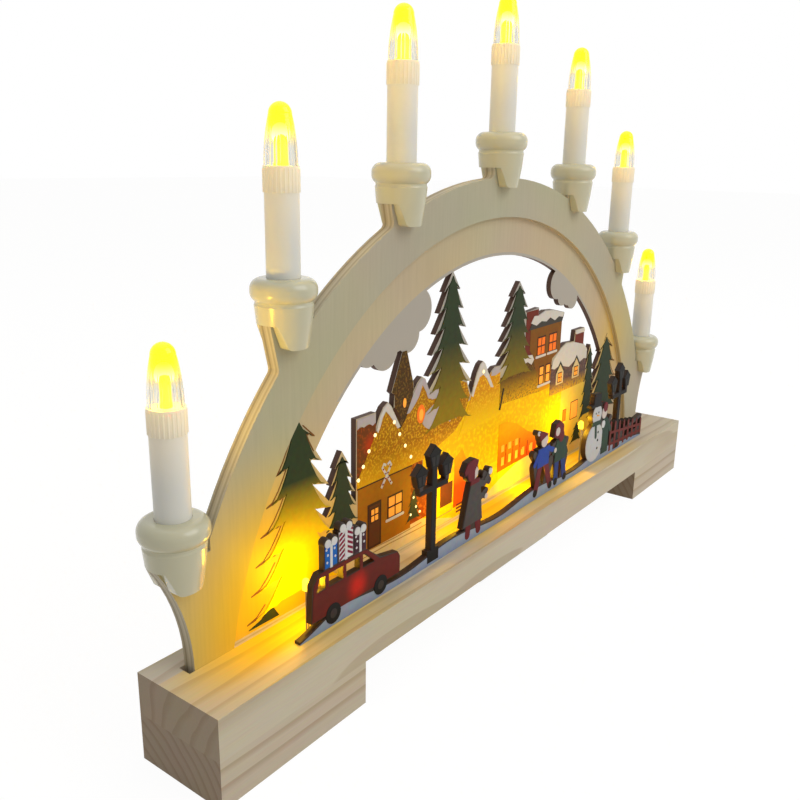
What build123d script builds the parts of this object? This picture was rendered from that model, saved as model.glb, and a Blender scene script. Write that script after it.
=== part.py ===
from build123d import *
from math import cos, hypot, pi, sin, sqrt
import os

# Candle arch with seven electric candles, standing on its two feet.
# X runs along the base, the front faces -Y, Z is up, and the origin is under the middle of the base.

# Base
base_overhang = 14.0
base_depth = 45.0
beam_height = 18.0
foot_height = 20.0
foot_length = 80.0
dowel_diameter = 8.0
dowel_length = 20.0
dowel_y = -2.0
dowel_end_gap = 20.0
dowel_spacing = 40.0
base_top = foot_height + beam_height

# Plywood boards and the grooves that hold them
ply_thickness = 3.0
arch_front = 6.5
arch_groove_depth = 7.0
groove_end_gap = 2.5
groove_play = 0.1
strip_front = -12.5
strip_groove_depth = 4.0
smallest_cutout = 4.0
scene_front = arch_front + ply_thickness
arch_back = scene_front + ply_thickness
arch_middle = scene_front
arch_groove_floor = base_top - arch_groove_depth

# Arch outline: its radius drives the arch, the base's length and the places of the candles
arch_radius = 221.7
arch_drop_share = 0.198
window_share = 0.8796
ring_share = 0.7894
window_drop_share = 0.1669
arch_foot_share = 0.95174
pad_depth_share = 0.1
pad_half = 10.6
pad_foot_half = 5.4
pad_fillet = 3.0
pad_corner_reach = 0.1
arch_centre = base_top - arch_drop_share * arch_radius
window_centre = base_top - window_drop_share * arch_radius
window_radius = window_share * arch_radius
ring_radius = ring_share * arch_radius
arch_foot_half = arch_foot_share * arch_radius
pad_depth = pad_depth_share * arch_radius
base_length = 2 * (arch_foot_half + base_overhang)

# Candles from left to right: place from the middle and height of the seat above the base, as shares
# of the arch's radius
candle_shares = [
    (-0.9662, 0.2057), (-0.7068, 0.5634), (-0.3766, 0.7556), (0, 0.8241),
    (0.3766, 0.7556), (0.7068, 0.5634), (0.9662, 0.2057),
]

# Candle cup, from its seat on the arch
cup_height = 17.3
bead_diameter = 26.2
bead_height = 9.5
bead_round = 4.2
neck_diameter = 22.6
neck_height = 0.8
body_diameter = 23.2
seat_diameter = 21.8
tongue_depth = 9.6
back_tongue_thickness = 2.7
tongue_top_width = 18.6
tongue_foot_width = 10.8
tongue_foot_diameter = 18.8
tongue_round = 2.2
cup_floor = 4.3
cup_bore_play = 0.1
cup_side_room = 0.4

# Candle shaft, socket and lamp
shaft_diameter = 13.2
shaft_bore = 11.2
shaft_reach = 31.5
socket_height = 4.0
plug_diameter = 11.04
plug_depth = 9.0
socket_gap = 0.3
collar_diameter = 13.6
collar_height = 9.5
rib_count = 26
rib_diameter = 0.9
flame_diameter = 12.8
flame_height = 22.5
flame_tip_diameter = 8.8
flame_wall = 1.0
flute_count = 10
flute_diameter = 2.2
flute_depth = 0.45
flute_lean = 1.2
led_diameter = 5.0
led_height = 11.0
led_flange_diameter = 5.8
led_flange_height = 1.0

# Leads
lead_diameter = 1.2
lead_board_gap = 0.7
lead_hole_play = 0.2
lead_spacing = 2.4
lead_bend = 4.0
lead_tuck = 2.5
lead_step = 12.0
leg_lead_inset = 12.0
scene_lead_diameter = 0.9
scene_lead_gap = 0.2
scene_lead_strip_gap = 0.6
scene_lead_bend = 2.5
scene_lead_spacing = 1.6

# Scene LEDs, behind the figure strip
bead_led_diameter = 3.0
bead_led_height = 5.0
bead_leg_diameter = 0.6
bead_leg_spacing = 1.3
bead_led_gap = 0.2

# Battery box for two AA cells, let into the underside of the beam
cell_diameter = 14.3
cell_body_length = 49.2
nub_diameter = 5.4
nub_length = 1.2
cell_gap = 0.6
cell_play = 0.2
contact_thickness = 0.4
contact_width = 9.0
leaf_rise = 2.4
leaf_width = 5.0
box_wall = 2.2
box_roof = 1.6
box_partition = 1.6
bay_length = 16.0
box_back_gap = 0.9
box_top_gap = 0.2
pocket_play = 0.3
pocket_depth = 7.6
ear_length = 9.0
ear_width = 12.0
ear_thickness = 2.0
screw_diameter = 3.0
screw_head_diameter = 6.0
screw_head_height = 1.6
screw_length = 12.0
screw_play = 0.1

# Battery cover
cover_thickness = 1.8
cover_lip = 0.2
cover_tongue = 1.0
cover_tongue_height = 0.8
cover_play = 0.15
cover_grip_count = 4
cover_grip_width = 1.0
cover_grip_spacing = 2.4
cover_grip_depth = 0.6
cover_grip_gap = 4.0

# Switch and circuit board
switch_length = 12.0
switch_width = 6.6
switch_height = 4.4
switch_wall = 1.0
slider_head_length = 4.0
slider_head_height = 1.6
slider_stem_length = 2.8
slider_stem_width = 2.2
slider_reach = 1.8
slider_travel = 4.0
slider_play = 0.15
board_thickness = 1.6
board_edge_gap = 0.4

# Drawing of the scene board, as shares of the ring's radius, from the middle of the base top
skyline_shares = [
    (-1.07, 0.25), (-0.86, 0.25), (-0.80, 0.18), (-0.70, 0.19), (-0.65, 0.19), (-0.65, 0.43),
    (-0.57, 0.43), (-0.57, 0.39), (-0.557, 0.415), (-0.54, 0.437), (-0.52, 0.447), (-0.504, 0.432),
    (-0.495, 0.42), (-0.492, 0.46), (-0.505, 0.47), (-0.46, 0.575), (-0.44, 0.575), (-0.405, 0.47),
    (-0.408, 0.452), (-0.389, 0.474), (-0.369, 0.487), (-0.351, 0.477), (-0.329, 0.436), (-0.286, 0.438),
    (-0.177, 0.445), (-0.137, 0.431), (-0.11, 0.38), (-0.097, 0.41), (-0.082, 0.443), (-0.065, 0.466),
    (-0.049, 0.474), (-0.034, 0.463), (-0.017, 0.435), (-0.006, 0.422), (0.002, 0.432), (0.023, 0.442),
    (0.06, 0.44), (0.08, 0.434), (0.145, 0.434), (0.175, 0.44), (0.205, 0.445), (0.21, 0.59),
    (0.295, 0.595), (0.295, 0.57), (0.34, 0.58), (0.40, 0.575), (0.485, 0.555), (0.47, 0.54),
    (0.47, 0.425), (0.515, 0.44), (0.58, 0.435), (0.585, 0.475), (0.66, 0.475), (0.66, 0.415),
    (0.695, 0.39), (0.695, 0.24), (0.71, 0.18), (0.825, 0.125), (1.07, 0.105),
]
ground_share = -0.03
cloud_shares = [
    (-0.39, 0.675, 0.06), (-0.435, 0.615, 0.05), (-0.535, 0.59, 0.055), (-0.60, 0.605, 0.05),
    (-0.49, 0.655, 0.08), (0.42, 0.66, 0.052), (0.465, 0.62, 0.04), (0.54, 0.60, 0.04),
    (0.515, 0.645, 0.07),
]
# Each fir: axis, tip, foot and reach as shares of the ring's radius, and its tiers
fir_shares = [
    (-0.23, 0.766, 0.423, 0.12, 6),
    (0.155, 0.697, 0.423, 0.12, 6),
    (0.725, 0.40, 0.16, 0.063, 5),
    (0.87, 0.42, 0.10, 0.155, 5),
    (-0.86, 0.49, 0.02, 0.175, 7),
    (-0.705, 0.36, 0.155, 0.071, 5),
]
fir_fullness = 0.6
fir_notch_share = 0.45
fir_lift_share = 0.22

# Figure strip: places are shares of its length, shapes are shares of its figures' height
strip_length = 348.0
figure_share = 0.1724
figure_height = figure_share * strip_length
snow_mean_share = 0.075
snow_swell_share = 0.03
snow_end_share = 0.02
snow_wave_count = 4
snow_steps = 32
car_place_share = -0.397
lamp_place_shares = (-0.2385, 0.374)
walker_place_share = -0.129
blue_child_place_share = 0.075
green_child_place_share = 0.135
snowman_place_share = 0.276
fence_shares = (0.345, 0.495)
car_shares = [
    (-0.485, 0.10), (0.485, 0.10), (0.485, 0.24), (0.455, 0.285), (0.25, 0.32), (0.09, 0.44),
    (-0.41, 0.445), (-0.47, 0.375),
]
car_window_shares = [
    [(-0.43, 0.315), (-0.345, 0.315), (-0.345, 0.41), (-0.40, 0.41)],
    [(-0.31, 0.315), (-0.165, 0.315), (-0.165, 0.41), (-0.31, 0.41)],
    [(-0.13, 0.315), (0.015, 0.315), (0.015, 0.41), (-0.13, 0.41)],
    [(0.05, 0.315), (0.19, 0.315), (0.075, 0.41), (0.05, 0.41)],
]
car_wheel_shares = [(-0.27, 0.095), (0.25, 0.095)]
car_wheel_share = 0.078
present_shares = [(-0.355, -0.22, 0.62), (-0.215, -0.055, 0.68), (-0.05, 0.085, 0.605)]
present_foot_share = 0.43
bow_share = 0.036
lamp_plinth_shares = (0.16, 0.13)
lamp_post_shares = (0.07, 0.82)
lamp_bar_shares = (0.38, 0.045, 0.63)
lantern_spots_shares = [(0.0, 0.82), (-0.175, 0.705), (0.175, 0.705)]
lantern_shares = [
    (-0.045, 0.0), (0.045, 0.0), (0.075, 0.105), (0.09, 0.11), (0.02, 0.165), (0.0, 0.185),
    (-0.02, 0.165), (-0.09, 0.11), (-0.075, 0.105),
]
walker_coat_shares = [(-0.215, 0.14), (0.10, 0.14), (0.05, 0.52), (-0.10, 0.54), (-0.13, 0.45)]
walker_hat_shares = [
    (-0.20, 0.60), (-0.01, 0.66), (0.01, 0.70), (-0.06, 0.735), (-0.17, 0.72), (-0.22, 0.65),
]
walker_ball_shares = [(-0.08, 0.61, 0.085), (0.20, 0.545, 0.04)]
walker_limb_shares = [
    (0.0, 0.49, 0.11, 0.46, 0.07), (0.11, 0.46, 0.19, 0.54, 0.065), (0.02, 0.38, 0.15, 0.33, 0.06),
    (-0.12, 0.16, -0.13, 0.06, 0.09), (0.02, 0.16, 0.04, 0.06, 0.09),
]
blue_child_coat_shares = [(-0.13, 0.30), (0.11, 0.30), (0.12, 0.50), (-0.12, 0.50)]
blue_child_hat_shares = [(-0.085, 0.57), (0.075, 0.615), (-0.02, 0.655), (-0.13, 0.67)]
blue_child_ball_shares = [(0.0, 0.565, 0.075), (-0.13, 0.665, 0.028)]
blue_child_limb_shares = [
    (-0.08, 0.46, -0.17, 0.36, 0.07), (0.10, 0.46, 0.24, 0.40, 0.065),
    (-0.06, 0.32, -0.13, 0.07, 0.10), (0.05, 0.32, 0.16, 0.07, 0.10),
]
green_child_coat_shares = [(-0.13, 0.26), (0.13, 0.26), (0.10, 0.50), (-0.10, 0.50)]
green_child_hat_shares = [(-0.16, 0.54), (0.05, 0.50), (0.05, 0.63), (-0.04, 0.69), (-0.13, 0.67)]
green_child_ball_shares = [(-0.06, 0.585, 0.08), (0.0, 0.515, 0.07)]
green_child_limb_shares = [
    (-0.07, 0.45, -0.15, 0.38, 0.065), (0.07, 0.45, 0.14, 0.32, 0.065),
    (-0.06, 0.28, -0.07, 0.07, 0.10), (0.06, 0.28, 0.12, 0.07, 0.10),
]
snowman_ball_shares = [
    (-0.02, 0.24, 0.215), (0.0, 0.545, 0.115), (0.19, 0.53, 0.08), (0.20, 0.60, 0.045),
]
snowman_hat_shares = [
    (-0.155, 0.64), (0.11, 0.62), (0.115, 0.65), (0.065, 0.66), (0.075, 0.77), (-0.095, 0.79),
    (-0.105, 0.675), (-0.155, 0.67),
]
snowman_child_shares = [(0.07, 0.05), (0.34, 0.05), (0.34, 0.28), (0.28, 0.46), (0.10, 0.48)]
snowman_limb_shares = [(0.26, 0.43, 0.37, 0.30, 0.07)]
fence_picket_count = 8
fence_picket_share = 0.055
fence_height_shares = (0.36, 0.20)
fence_rail_shares = (0.30, 0.68)
fence_rail_width_share = 0.04
# Scene LEDs: place along the strip as a share of its length, height as a share of the figures' height
scene_led_shares = [(-0.475, 0.367), (-0.137, 0.30), (0.0805, 0.10), (0.2405, 0.47)]

overrun = 1.0

# Sizes that follow
candle_spots = [(u * arch_radius, base_top + v * arch_radius) for u, v in candle_shares]
shaft_foot = cup_floor
shaft_top = cup_height + shaft_reach
socket_top = shaft_top - plug_depth - socket_gap
lead_y = arch_back + lead_board_gap + lead_diameter / 2
lead_hole = lead_diameter + 2 * lead_hole_play
lead_under = foot_height + lead_hole / 2
leg_lead_x = arch_foot_half - leg_lead_inset
strip_back = strip_front + ply_thickness
scene_lead_y = strip_back + scene_lead_strip_gap + scene_lead_diameter / 2
scene_lead_z = base_top + scene_lead_gap + scene_lead_diameter / 2
scene_lead_hole = scene_lead_diameter + 2 * lead_hole_play

cells_width = 2 * cell_diameter + cell_gap + 2 * cell_play
cell_length = cell_body_length + nub_length
cells_length = cell_length + 2 * contact_thickness + leaf_rise + cell_play
box_width = cells_width + 2 * box_wall
box_length = box_wall + cells_length + box_partition + bay_length + box_wall
box_bay_height = cell_diameter + 2 * cell_play
box_top = foot_height + pocket_depth - box_top_gap
box_bottom = box_top - box_roof - box_bay_height - cover_thickness - cover_lip
box_back = base_depth / 2 - box_back_gap
box_front = box_back - box_width
box_middle_y = (box_front + box_back) / 2
box_left = -box_length / 2
box_right = box_length / 2
cells_left = box_left + box_wall
cells_right = cells_left + cells_length
bay_left = cells_right + box_partition
bay_right = bay_left + bay_length
bay_floor = box_bottom + box_wall
cell_axis_z = box_bottom + cover_lip + cover_thickness + cell_play + cell_diameter / 2
bay_x = (bay_left + bay_right) / 2
circuit_bottom = bay_floor + switch_height


def block(low, high):
    """A box between two opposite corners."""
    size = [b - a for a, b in zip(low, high)]
    return Pos(*low) * Box(*size, align=(Align.MIN, Align.MIN, Align.MIN))


def rod(diameter, low, high, x=0, y=0):
    """An upright round rod."""
    upright = (Align.CENTER, Align.CENTER, Align.MIN)
    return Pos(x, y, low) * Cylinder(diameter / 2, high - low, align=upright)


def plywood(outline, front):
    """A plywood board of this front outline, its front face at y = front."""
    back = Plane.XZ.offset(-(front + ply_thickness))
    return extrude(back * outline, ply_thickness)


def without_slits(outline):
    """The outline with its cut-outs that are too small to saw left closed."""
    faces = []
    for face in outline.faces():
        kept = [wire for wire in face.inner_wires() if Face(wire).area > smallest_cutout ** 2]
        faces.append(Face(face.outer_wire(), kept))
    return Sketch(faces)


def disc(x, z, radius):
    """A round patch of a board's outline."""
    return Pos(x, z) * Circle(radius)


def bar(x0, z0, x1, z1, width):
    """A round-ended bar between two points of a board's outline."""
    run = hypot(x1 - x0, z1 - z0)
    turn = Vector(1, 0).get_signed_angle(Vector(x1 - x0, z1 - z0))
    return Pos((x0 + x1) / 2, (z0 + z1) / 2) * Rot(0, 0, turn) * SlotCenterToCenter(run, width)


def strip_of(left, right, low, high):
    """A rectangle of a board's outline."""
    return Polygon((left, low), (right, low), (right, high), (left, high))


def arch_outline():
    """Outer outline of both arch boards, with the candle pads and the foot that the groove holds."""
    outer_x, seat = candle_spots[-1]
    pad_edge = outer_x + pad_half
    flare = pad_edge - arch_foot_half
    flare_radius = (flare ** 2 + (seat - base_top) ** 2) / (2 * flare)
    top = arch_centre + arch_radius + pad_depth
    crown = disc(0, arch_centre, arch_radius) & strip_of(-arch_radius, arch_radius, seat, top)
    legs = strip_of(-pad_edge, pad_edge, base_top, seat)
    for side in (-1, 1):
        legs -= disc(side * (arch_foot_half + flare_radius), base_top, flare_radius)
    outline = crown + legs + strip_of(-arch_foot_half, arch_foot_half, arch_groove_floor, base_top)
    room = bead_diameter / 2 + cup_side_room
    for x, z in candle_spots[1:-1]:
        foot = z - pad_depth
        outline += Polygon(
            (x - pad_foot_half, foot), (x + pad_foot_half, foot), (x + pad_half, z), (x - pad_half, z)
        )
    for x, z in candle_spots:
        outline -= strip_of(x - room, x + room, z, top)
    corners = [v for v in outline.vertices() if is_pad_corner(v)]
    return fillet(corners, pad_fillet)


def is_pad_corner(vertex):
    """Whether a corner of the outline lies where a pad's lower side meets the arch's curve."""
    from_centre = hypot(vertex.X, vertex.Y - arch_centre)
    for x, z in candle_spots[1:-1]:
        outward = abs(vertex.X) - abs(x)
        on_curve = abs(from_centre - arch_radius) < pad_corner_reach
        if 0 < outward < pad_half and vertex.Y < z and on_curve:
            return True
    return False


def arch_plate():
    """Front layer of the arch, open inside its round window."""
    window = disc(0, window_centre, window_radius)
    window &= strip_of(-window_radius, window_radius, base_top, window_centre + window_radius)
    return plywood(arch_outline() - window, arch_front)


def fir(axis, tip, foot, reach, tiers):
    """Outline of a fir whose tiers droop and widen towards the foot."""
    height = (tip - foot) * ring_radius
    spread = reach * ring_radius
    x = axis * ring_radius
    top = base_top + tip * ring_radius
    drop = height / tiers
    side = []
    for tier in range(1, tiers + 1):
        half = spread * (tier / tiers) ** fir_fullness
        z = top - tier * drop
        side.append((half, z))
        side.append((half * fir_notch_share, z + drop * fir_lift_share))
    right = [(x + half, z) for half, z in side]
    left = [(x - half, z) for half, z in side]
    return Polygon((x, top), *left, *reversed(right))


def scene_board():
    """Rear layer of the arch: a ring round the sky, with the village, firs and clouds left standing."""
    def spot(u, v):
        return u * ring_radius, base_top + v * ring_radius

    left, low = spot(skyline_shares[0][0], ground_share)
    right, low = spot(skyline_shares[-1][0], ground_share)
    village = Polygon((left, low), (right, low), *[spot(u, v) for u, v in reversed(skyline_shares)])
    for u, v, radius in cloud_shares:
        village += disc(*spot(u, v), radius * ring_radius)
    for shares in fir_shares:
        village += fir(*shares)
    sky = disc(0, window_centre, ring_radius)
    sky &= strip_of(-ring_radius, ring_radius, base_top, window_centre + ring_radius)
    return plywood(without_slits(arch_outline() - (sky - village)), scene_front)


def at_figure(place):
    """Turns shares of the figures' height into points round a place along the strip."""
    def point(u, v):
        return place * strip_length + u * figure_height, base_top + v * figure_height
    return point


def patch(place, shares):
    """A many-sided patch of the figure strip."""
    return Polygon(*[at_figure(place)(u, v) for u, v in shares])


def figure(place, coat, hat, balls, limbs):
    """Outline of a standing figure: coat, hat, round head or mitts, and limbs."""
    point = at_figure(place)
    outline = patch(place, coat) + patch(place, hat)
    for u, v, radius in balls:
        outline += disc(*point(u, v), radius * figure_height)
    for u0, v0, u1, v1, width in limbs:
        outline += bar(*point(u0, v0), *point(u1, v1), width * figure_height)
    return outline


def car_outline():
    """Car with open windows, wheels and presents on its roof."""
    point = at_figure(car_place_share)
    outline = patch(car_place_share, car_shares)
    for u, v in car_wheel_shares:
        outline += disc(*point(u, v), car_wheel_share * figure_height)
    for left, right, top in present_shares:
        low_left = point(left, present_foot_share)
        high_right = point(right, top)
        outline += strip_of(low_left[0], high_right[0], low_left[1], high_right[1])
        for side in (-1, 1):
            bow = point((left + right) / 2 + side * bow_share, top + bow_share / 2)
            outline += disc(*bow, bow_share * figure_height)
    for window in car_window_shares:
        outline -= patch(car_place_share, window)
    return outline


def lamp_outline(place):
    """Street lamp with a plinth, a post, a cross bar and three lanterns."""
    point = at_figure(place)
    plinth_width, plinth_top = lamp_plinth_shares
    post_width, post_top = lamp_post_shares
    bar_width, bar_height, bar_level = lamp_bar_shares
    outline = patch(place, rectangle_shares(plinth_width, 0, plinth_top))
    outline += patch(place, rectangle_shares(post_width, 0, post_top + bar_height))
    outline += patch(place, rectangle_shares(bar_width, bar_level, bar_level + bar_height))
    for u, v in lantern_spots_shares:
        outline += patch(place, [(u + a, v + b) for a, b in lantern_shares])
        foot = point(u, min(v, bar_level + bar_height))
        outline += bar(*foot, *point(u, v + bar_height), bar_height * figure_height)
    return outline


def rectangle_shares(width, low, high):
    """Corners of a rectangle that is centred on its place."""
    return [(-width / 2, low), (width / 2, low), (width / 2, high), (-width / 2, high)]


def snowman_outline():
    """Snowman in a hat with a small child beside it."""
    return figure(snowman_place_share, snowman_child_shares, snowman_hat_shares, snowman_ball_shares,
                  snowman_limb_shares)


def fence_outline():
    """Picket fence that falls towards the right end of the strip."""
    start, end = fence_shares
    tall, low = fence_height_shares
    point = at_figure(0)
    half = fence_picket_share * figure_height / 2
    outline = Sketch()
    for picket in range(fence_picket_count):
        along = picket / (fence_picket_count - 1)
        x = (start + (end - start) * along) * strip_length
        top = base_top + (tall + (low - tall) * along) * figure_height
        outline += strip_of(x - half, x + half, base_top, top)
        outline += Polygon((x - half, top), (x + half, top), (x, top + half))
    for level in fence_rail_shares:
        outline += bar(start * strip_length, point(0, tall * level)[1], end * strip_length,
                       point(0, low * level)[1], fence_rail_width_share * figure_height)
    return outline


def snow_outline():
    """Low strip of snow under the figures, its top edge in gentle waves, its foot in the groove."""
    def top(along):
        swell = sin(2 * pi * snow_wave_count * along)
        ends = min(1, min(along, 1 - along) * snow_steps / 2)
        rise = snow_end_share + ends * (snow_mean_share + snow_swell_share * swell)
        return base_top + figure_height * rise

    left = -strip_length / 2
    shares = [step / snow_steps for step in range(snow_steps + 1)]
    crest = [(left + strip_length * along, top(along)) for along in shares]
    low = base_top - strip_groove_depth
    wave = Spline(*reversed(crest))
    foot = Polyline(crest[0], (left, low), (-left, low), crest[-1])
    return make_face([wave, foot])


def figure_strip():
    """Front strip with its figures, all cut from one plywood board."""
    outline = snow_outline() + car_outline() + snowman_outline() + fence_outline()
    for place in lamp_place_shares:
        outline += lamp_outline(place)
    outline += figure(walker_place_share, walker_coat_shares, walker_hat_shares, walker_ball_shares,
                      walker_limb_shares)
    outline += figure(blue_child_place_share, blue_child_coat_shares, blue_child_hat_shares,
                      blue_child_ball_shares, blue_child_limb_shares)
    outline += figure(green_child_place_share, green_child_coat_shares, green_child_hat_shares,
                      green_child_ball_shares, green_child_limb_shares)
    return plywood(without_slits(outline), strip_front)


def dowel_places():
    """Where the foot dowels stand."""
    outer = base_length / 2 - dowel_end_gap
    return [(side * (outer - step * dowel_spacing), dowel_y) for side in (-1, 1) for step in (0, 1)]


def screw_places():
    """Where the battery box is screwed to the beam."""
    return [(box_left - ear_length / 2, box_middle_y), (box_right + ear_length / 2, box_middle_y)]


def scene_lead_places():
    """Where the two scene leads go down through the beam."""
    return [bay_x - scene_lead_spacing / 2, bay_x + scene_lead_spacing / 2]


def base_beam():
    """Plank of the base with its grooves, the battery box's pocket and the lead and dowel holes."""
    beam = block((-base_length / 2, -base_depth / 2, foot_height),
                 (base_length / 2, base_depth / 2, base_top))
    arch_end = arch_foot_half + groove_end_gap
    beam -= block((-arch_end, arch_front - groove_play, arch_groove_floor),
                  (arch_end, arch_back + groove_play, base_top + overrun))
    strip_end = strip_length / 2 + groove_play
    beam -= block((-strip_end, strip_front - groove_play, base_top - strip_groove_depth),
                  (strip_end, strip_back + groove_play, base_top + overrun))
    beam -= block((box_left - pocket_play, box_front - pocket_play, foot_height - overrun),
                  (box_right + pocket_play, box_back + pocket_play, foot_height + pocket_depth))
    for x, y in dowel_places():
        beam -= rod(dowel_diameter, foot_height - overrun, foot_height + dowel_length / 2, x, y)
    for x, y in screw_places():
        screw_top = foot_height + screw_length - ear_thickness
        beam -= rod(screw_diameter, foot_height - overrun, screw_top, x, y)
    half = scene_lead_hole / 2
    for x in scene_lead_places():
        beam -= rod(scene_lead_hole, foot_height, base_top + overrun, x, scene_lead_y)
    first, last = scene_lead_places()
    beam -= block((first - scene_lead_bend - half, scene_lead_y - half, base_top - scene_lead_bend),
                  (last + scene_lead_bend + half, scene_lead_y + half, base_top + overrun))
    half = lead_hole / 2
    beam -= rod(lead_hole, foot_height - overrun, base_top + overrun, leg_lead_x, lead_y)
    beam -= block((box_right, lead_y - half, foot_height - overrun),
                  (leg_lead_x, lead_y + half, foot_height + lead_hole))
    beam -= block((leg_lead_x - lead_bend - half, lead_y - half, foot_height - overrun),
                  (leg_lead_x + half, lead_y + half, foot_height + lead_bend + lead_hole))
    return beam


def foot(side):
    """Foot block under one end of the beam, with its dowel holes."""
    end = base_length / 2
    shape = block((end - foot_length, -base_depth / 2, 0), (end, base_depth / 2, foot_height))
    shape = shape if side > 0 else Pos(foot_length - 2 * end, 0, 0) * shape
    for x, y in dowel_places():
        if x * side > 0:
            shape -= rod(dowel_diameter, foot_height - dowel_length / 2, foot_height + overrun, x, y)
    return shape


def foot_dowels():
    """Dowels between the feet and the beam."""
    low = foot_height - dowel_length / 2
    return Compound([rod(dowel_diameter, low, low + dowel_length, x, y) for x, y in dowel_places()])


def candle_cup():
    """Cup for one candle, from its seat at the origin: bead, tapered body, tongue and thin back tongue."""
    bead_foot = cup_height - bead_height
    half_bead = bead_diameter / 2
    profile = Polygon((0, bead_foot), (half_bead, bead_foot), (half_bead, cup_height), (0, cup_height))
    rounded = [v for v in profile.vertices() if v.X > 0]
    bead = revolve(Plane.XZ * fillet(rounded, bead_round), Axis.Z)
    body = Polygon(
        (0, -tongue_depth), (tongue_foot_diameter / 2, -tongue_depth), (seat_diameter / 2, 0),
        (body_diameter / 2, bead_foot - neck_height), (neck_diameter / 2, bead_foot),
        (neck_diameter / 2, bead_foot + neck_height), (0, bead_foot + neck_height),
    )
    cup = bead + revolve(Plane.XZ * body, Axis.Z)
    tongue = Polygon(
        (-tongue_foot_width / 2, -tongue_depth), (tongue_foot_width / 2, -tongue_depth),
        (tongue_top_width / 2, 0), (-tongue_top_width / 2, 0),
    )
    tongue = fillet([v for v in tongue.vertices() if v.Y < 0], tongue_round)
    tongue += strip_of(-bead_diameter, bead_diameter, 0, cup_height)
    cup &= extrude(Plane.XZ.offset(-bead_diameter) * tongue, 2 * bead_diameter)
    half_slot = ply_thickness + groove_play
    cup -= block((-bead_diameter, -half_slot, -tongue_depth - overrun), (bead_diameter, half_slot, 0))
    cup -= block((-bead_diameter, half_slot + back_tongue_thickness, -tongue_depth - overrun),
                 (bead_diameter, bead_diameter, 0))
    bore = shaft_diameter + 2 * cup_bore_play
    cup -= rod(bore, cup_floor, cup_height + overrun)
    for x in (-lead_spacing / 2, lead_spacing / 2):
        cup -= rod(lead_hole, -tongue_depth - overrun, cup_floor + overrun, x, lead_y - arch_middle)
    channel = lead_spacing / 2 + lead_hole / 2
    cup -= block((-channel, half_slot - overrun, -tongue_depth - overrun),
                 (channel, lead_y - arch_middle, 0))
    return cup


def candle_shaft():
    """White tube of one candle, standing on the cup's floor."""
    bore = rod(shaft_bore, shaft_foot - overrun, shaft_top + overrun)
    return rod(shaft_diameter, shaft_foot, shaft_top) - bore


def lamp_socket():
    """Socket disc inside the shaft that the lamp's plug meets, with room for the leads below."""
    return rod(shaft_bore - 2 * cup_bore_play, socket_top - socket_height, socket_top)


def bulb_collar():
    """Ribbed collar of the lamp with the plug that fits the shaft."""
    collar = rod(collar_diameter, shaft_top, shaft_top + collar_height)
    rib_top = shaft_top + collar_height - rib_diameter
    ring = collar_diameter / 2 - rib_diameter / 4
    for rib in range(rib_count):
        turn = 2 * pi * rib / rib_count
        collar += rod(rib_diameter, shaft_top, rib_top, ring * cos(turn), ring * sin(turn))
    return collar + rod(plug_diameter, shaft_top - plug_depth, shaft_top)


def flame_cap():
    """Clear flame-shaped cap, hollow and fluted."""
    foot_z = shaft_top + collar_height
    outer = flame_shape(flame_diameter, flame_tip_diameter, foot_z, flame_height)
    inner = flame_shape(flame_diameter - 2 * flame_wall, flame_tip_diameter - flame_wall,
                        foot_z - overrun, flame_height + overrun - flame_wall)
    cap = outer - inner
    reach = flame_diameter / 2 + flute_diameter / 2 - flute_depth
    flute = Plane(origin=(reach, 0, foot_z), z_dir=(-flute_lean, 0, flame_height)) * Cylinder(
        flute_diameter / 2, flame_height, align=(Align.CENTER, Align.CENTER, Align.MIN))
    for turn in range(flute_count):
        cap -= Rot(0, 0, turn * 360 / flute_count) * flute
    return cap


def flame_shape(foot_diameter, tip_diameter, foot_z, height):
    """Blunt teardrop: sides that lean in along a gentle curve to a round tip."""
    tip = tip_diameter / 2
    foot_radius = foot_diameter / 2
    shoulder = (tip, foot_z + height - tip)
    side = TangentArc((foot_radius, foot_z), shoulder, tangent=(0, 1))
    halfway = (tip / sqrt(2), foot_z + height - tip + tip / sqrt(2))
    crown = ThreePointArc(shoulder, halfway, (0, foot_z + height))
    axis = Polyline((0, foot_z + height), (0, foot_z), (foot_radius, foot_z))
    return revolve(Plane.XZ * make_face([side, crown, axis]), Axis.Z)


def bulb_led():
    """LED that stands on the collar inside the flame cap."""
    foot_z = shaft_top + collar_height
    dome = led_diameter / 2
    led = rod(led_flange_diameter, foot_z, foot_z + led_flange_height)
    led += rod(led_diameter, foot_z, foot_z + led_height - dome)
    return led + Pos(0, 0, foot_z + led_height - dome) * Sphere(dome)


def tube(points, bends, diameter):
    """A round lead along straight runs joined by arcs, one bend for each corner."""
    path = FilletPolyline(*points, radius=bends)
    start = Plane(origin=path @ 0, z_dir=path % 0)
    return sweep(start * Circle(diameter / 2), path=path)


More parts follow.
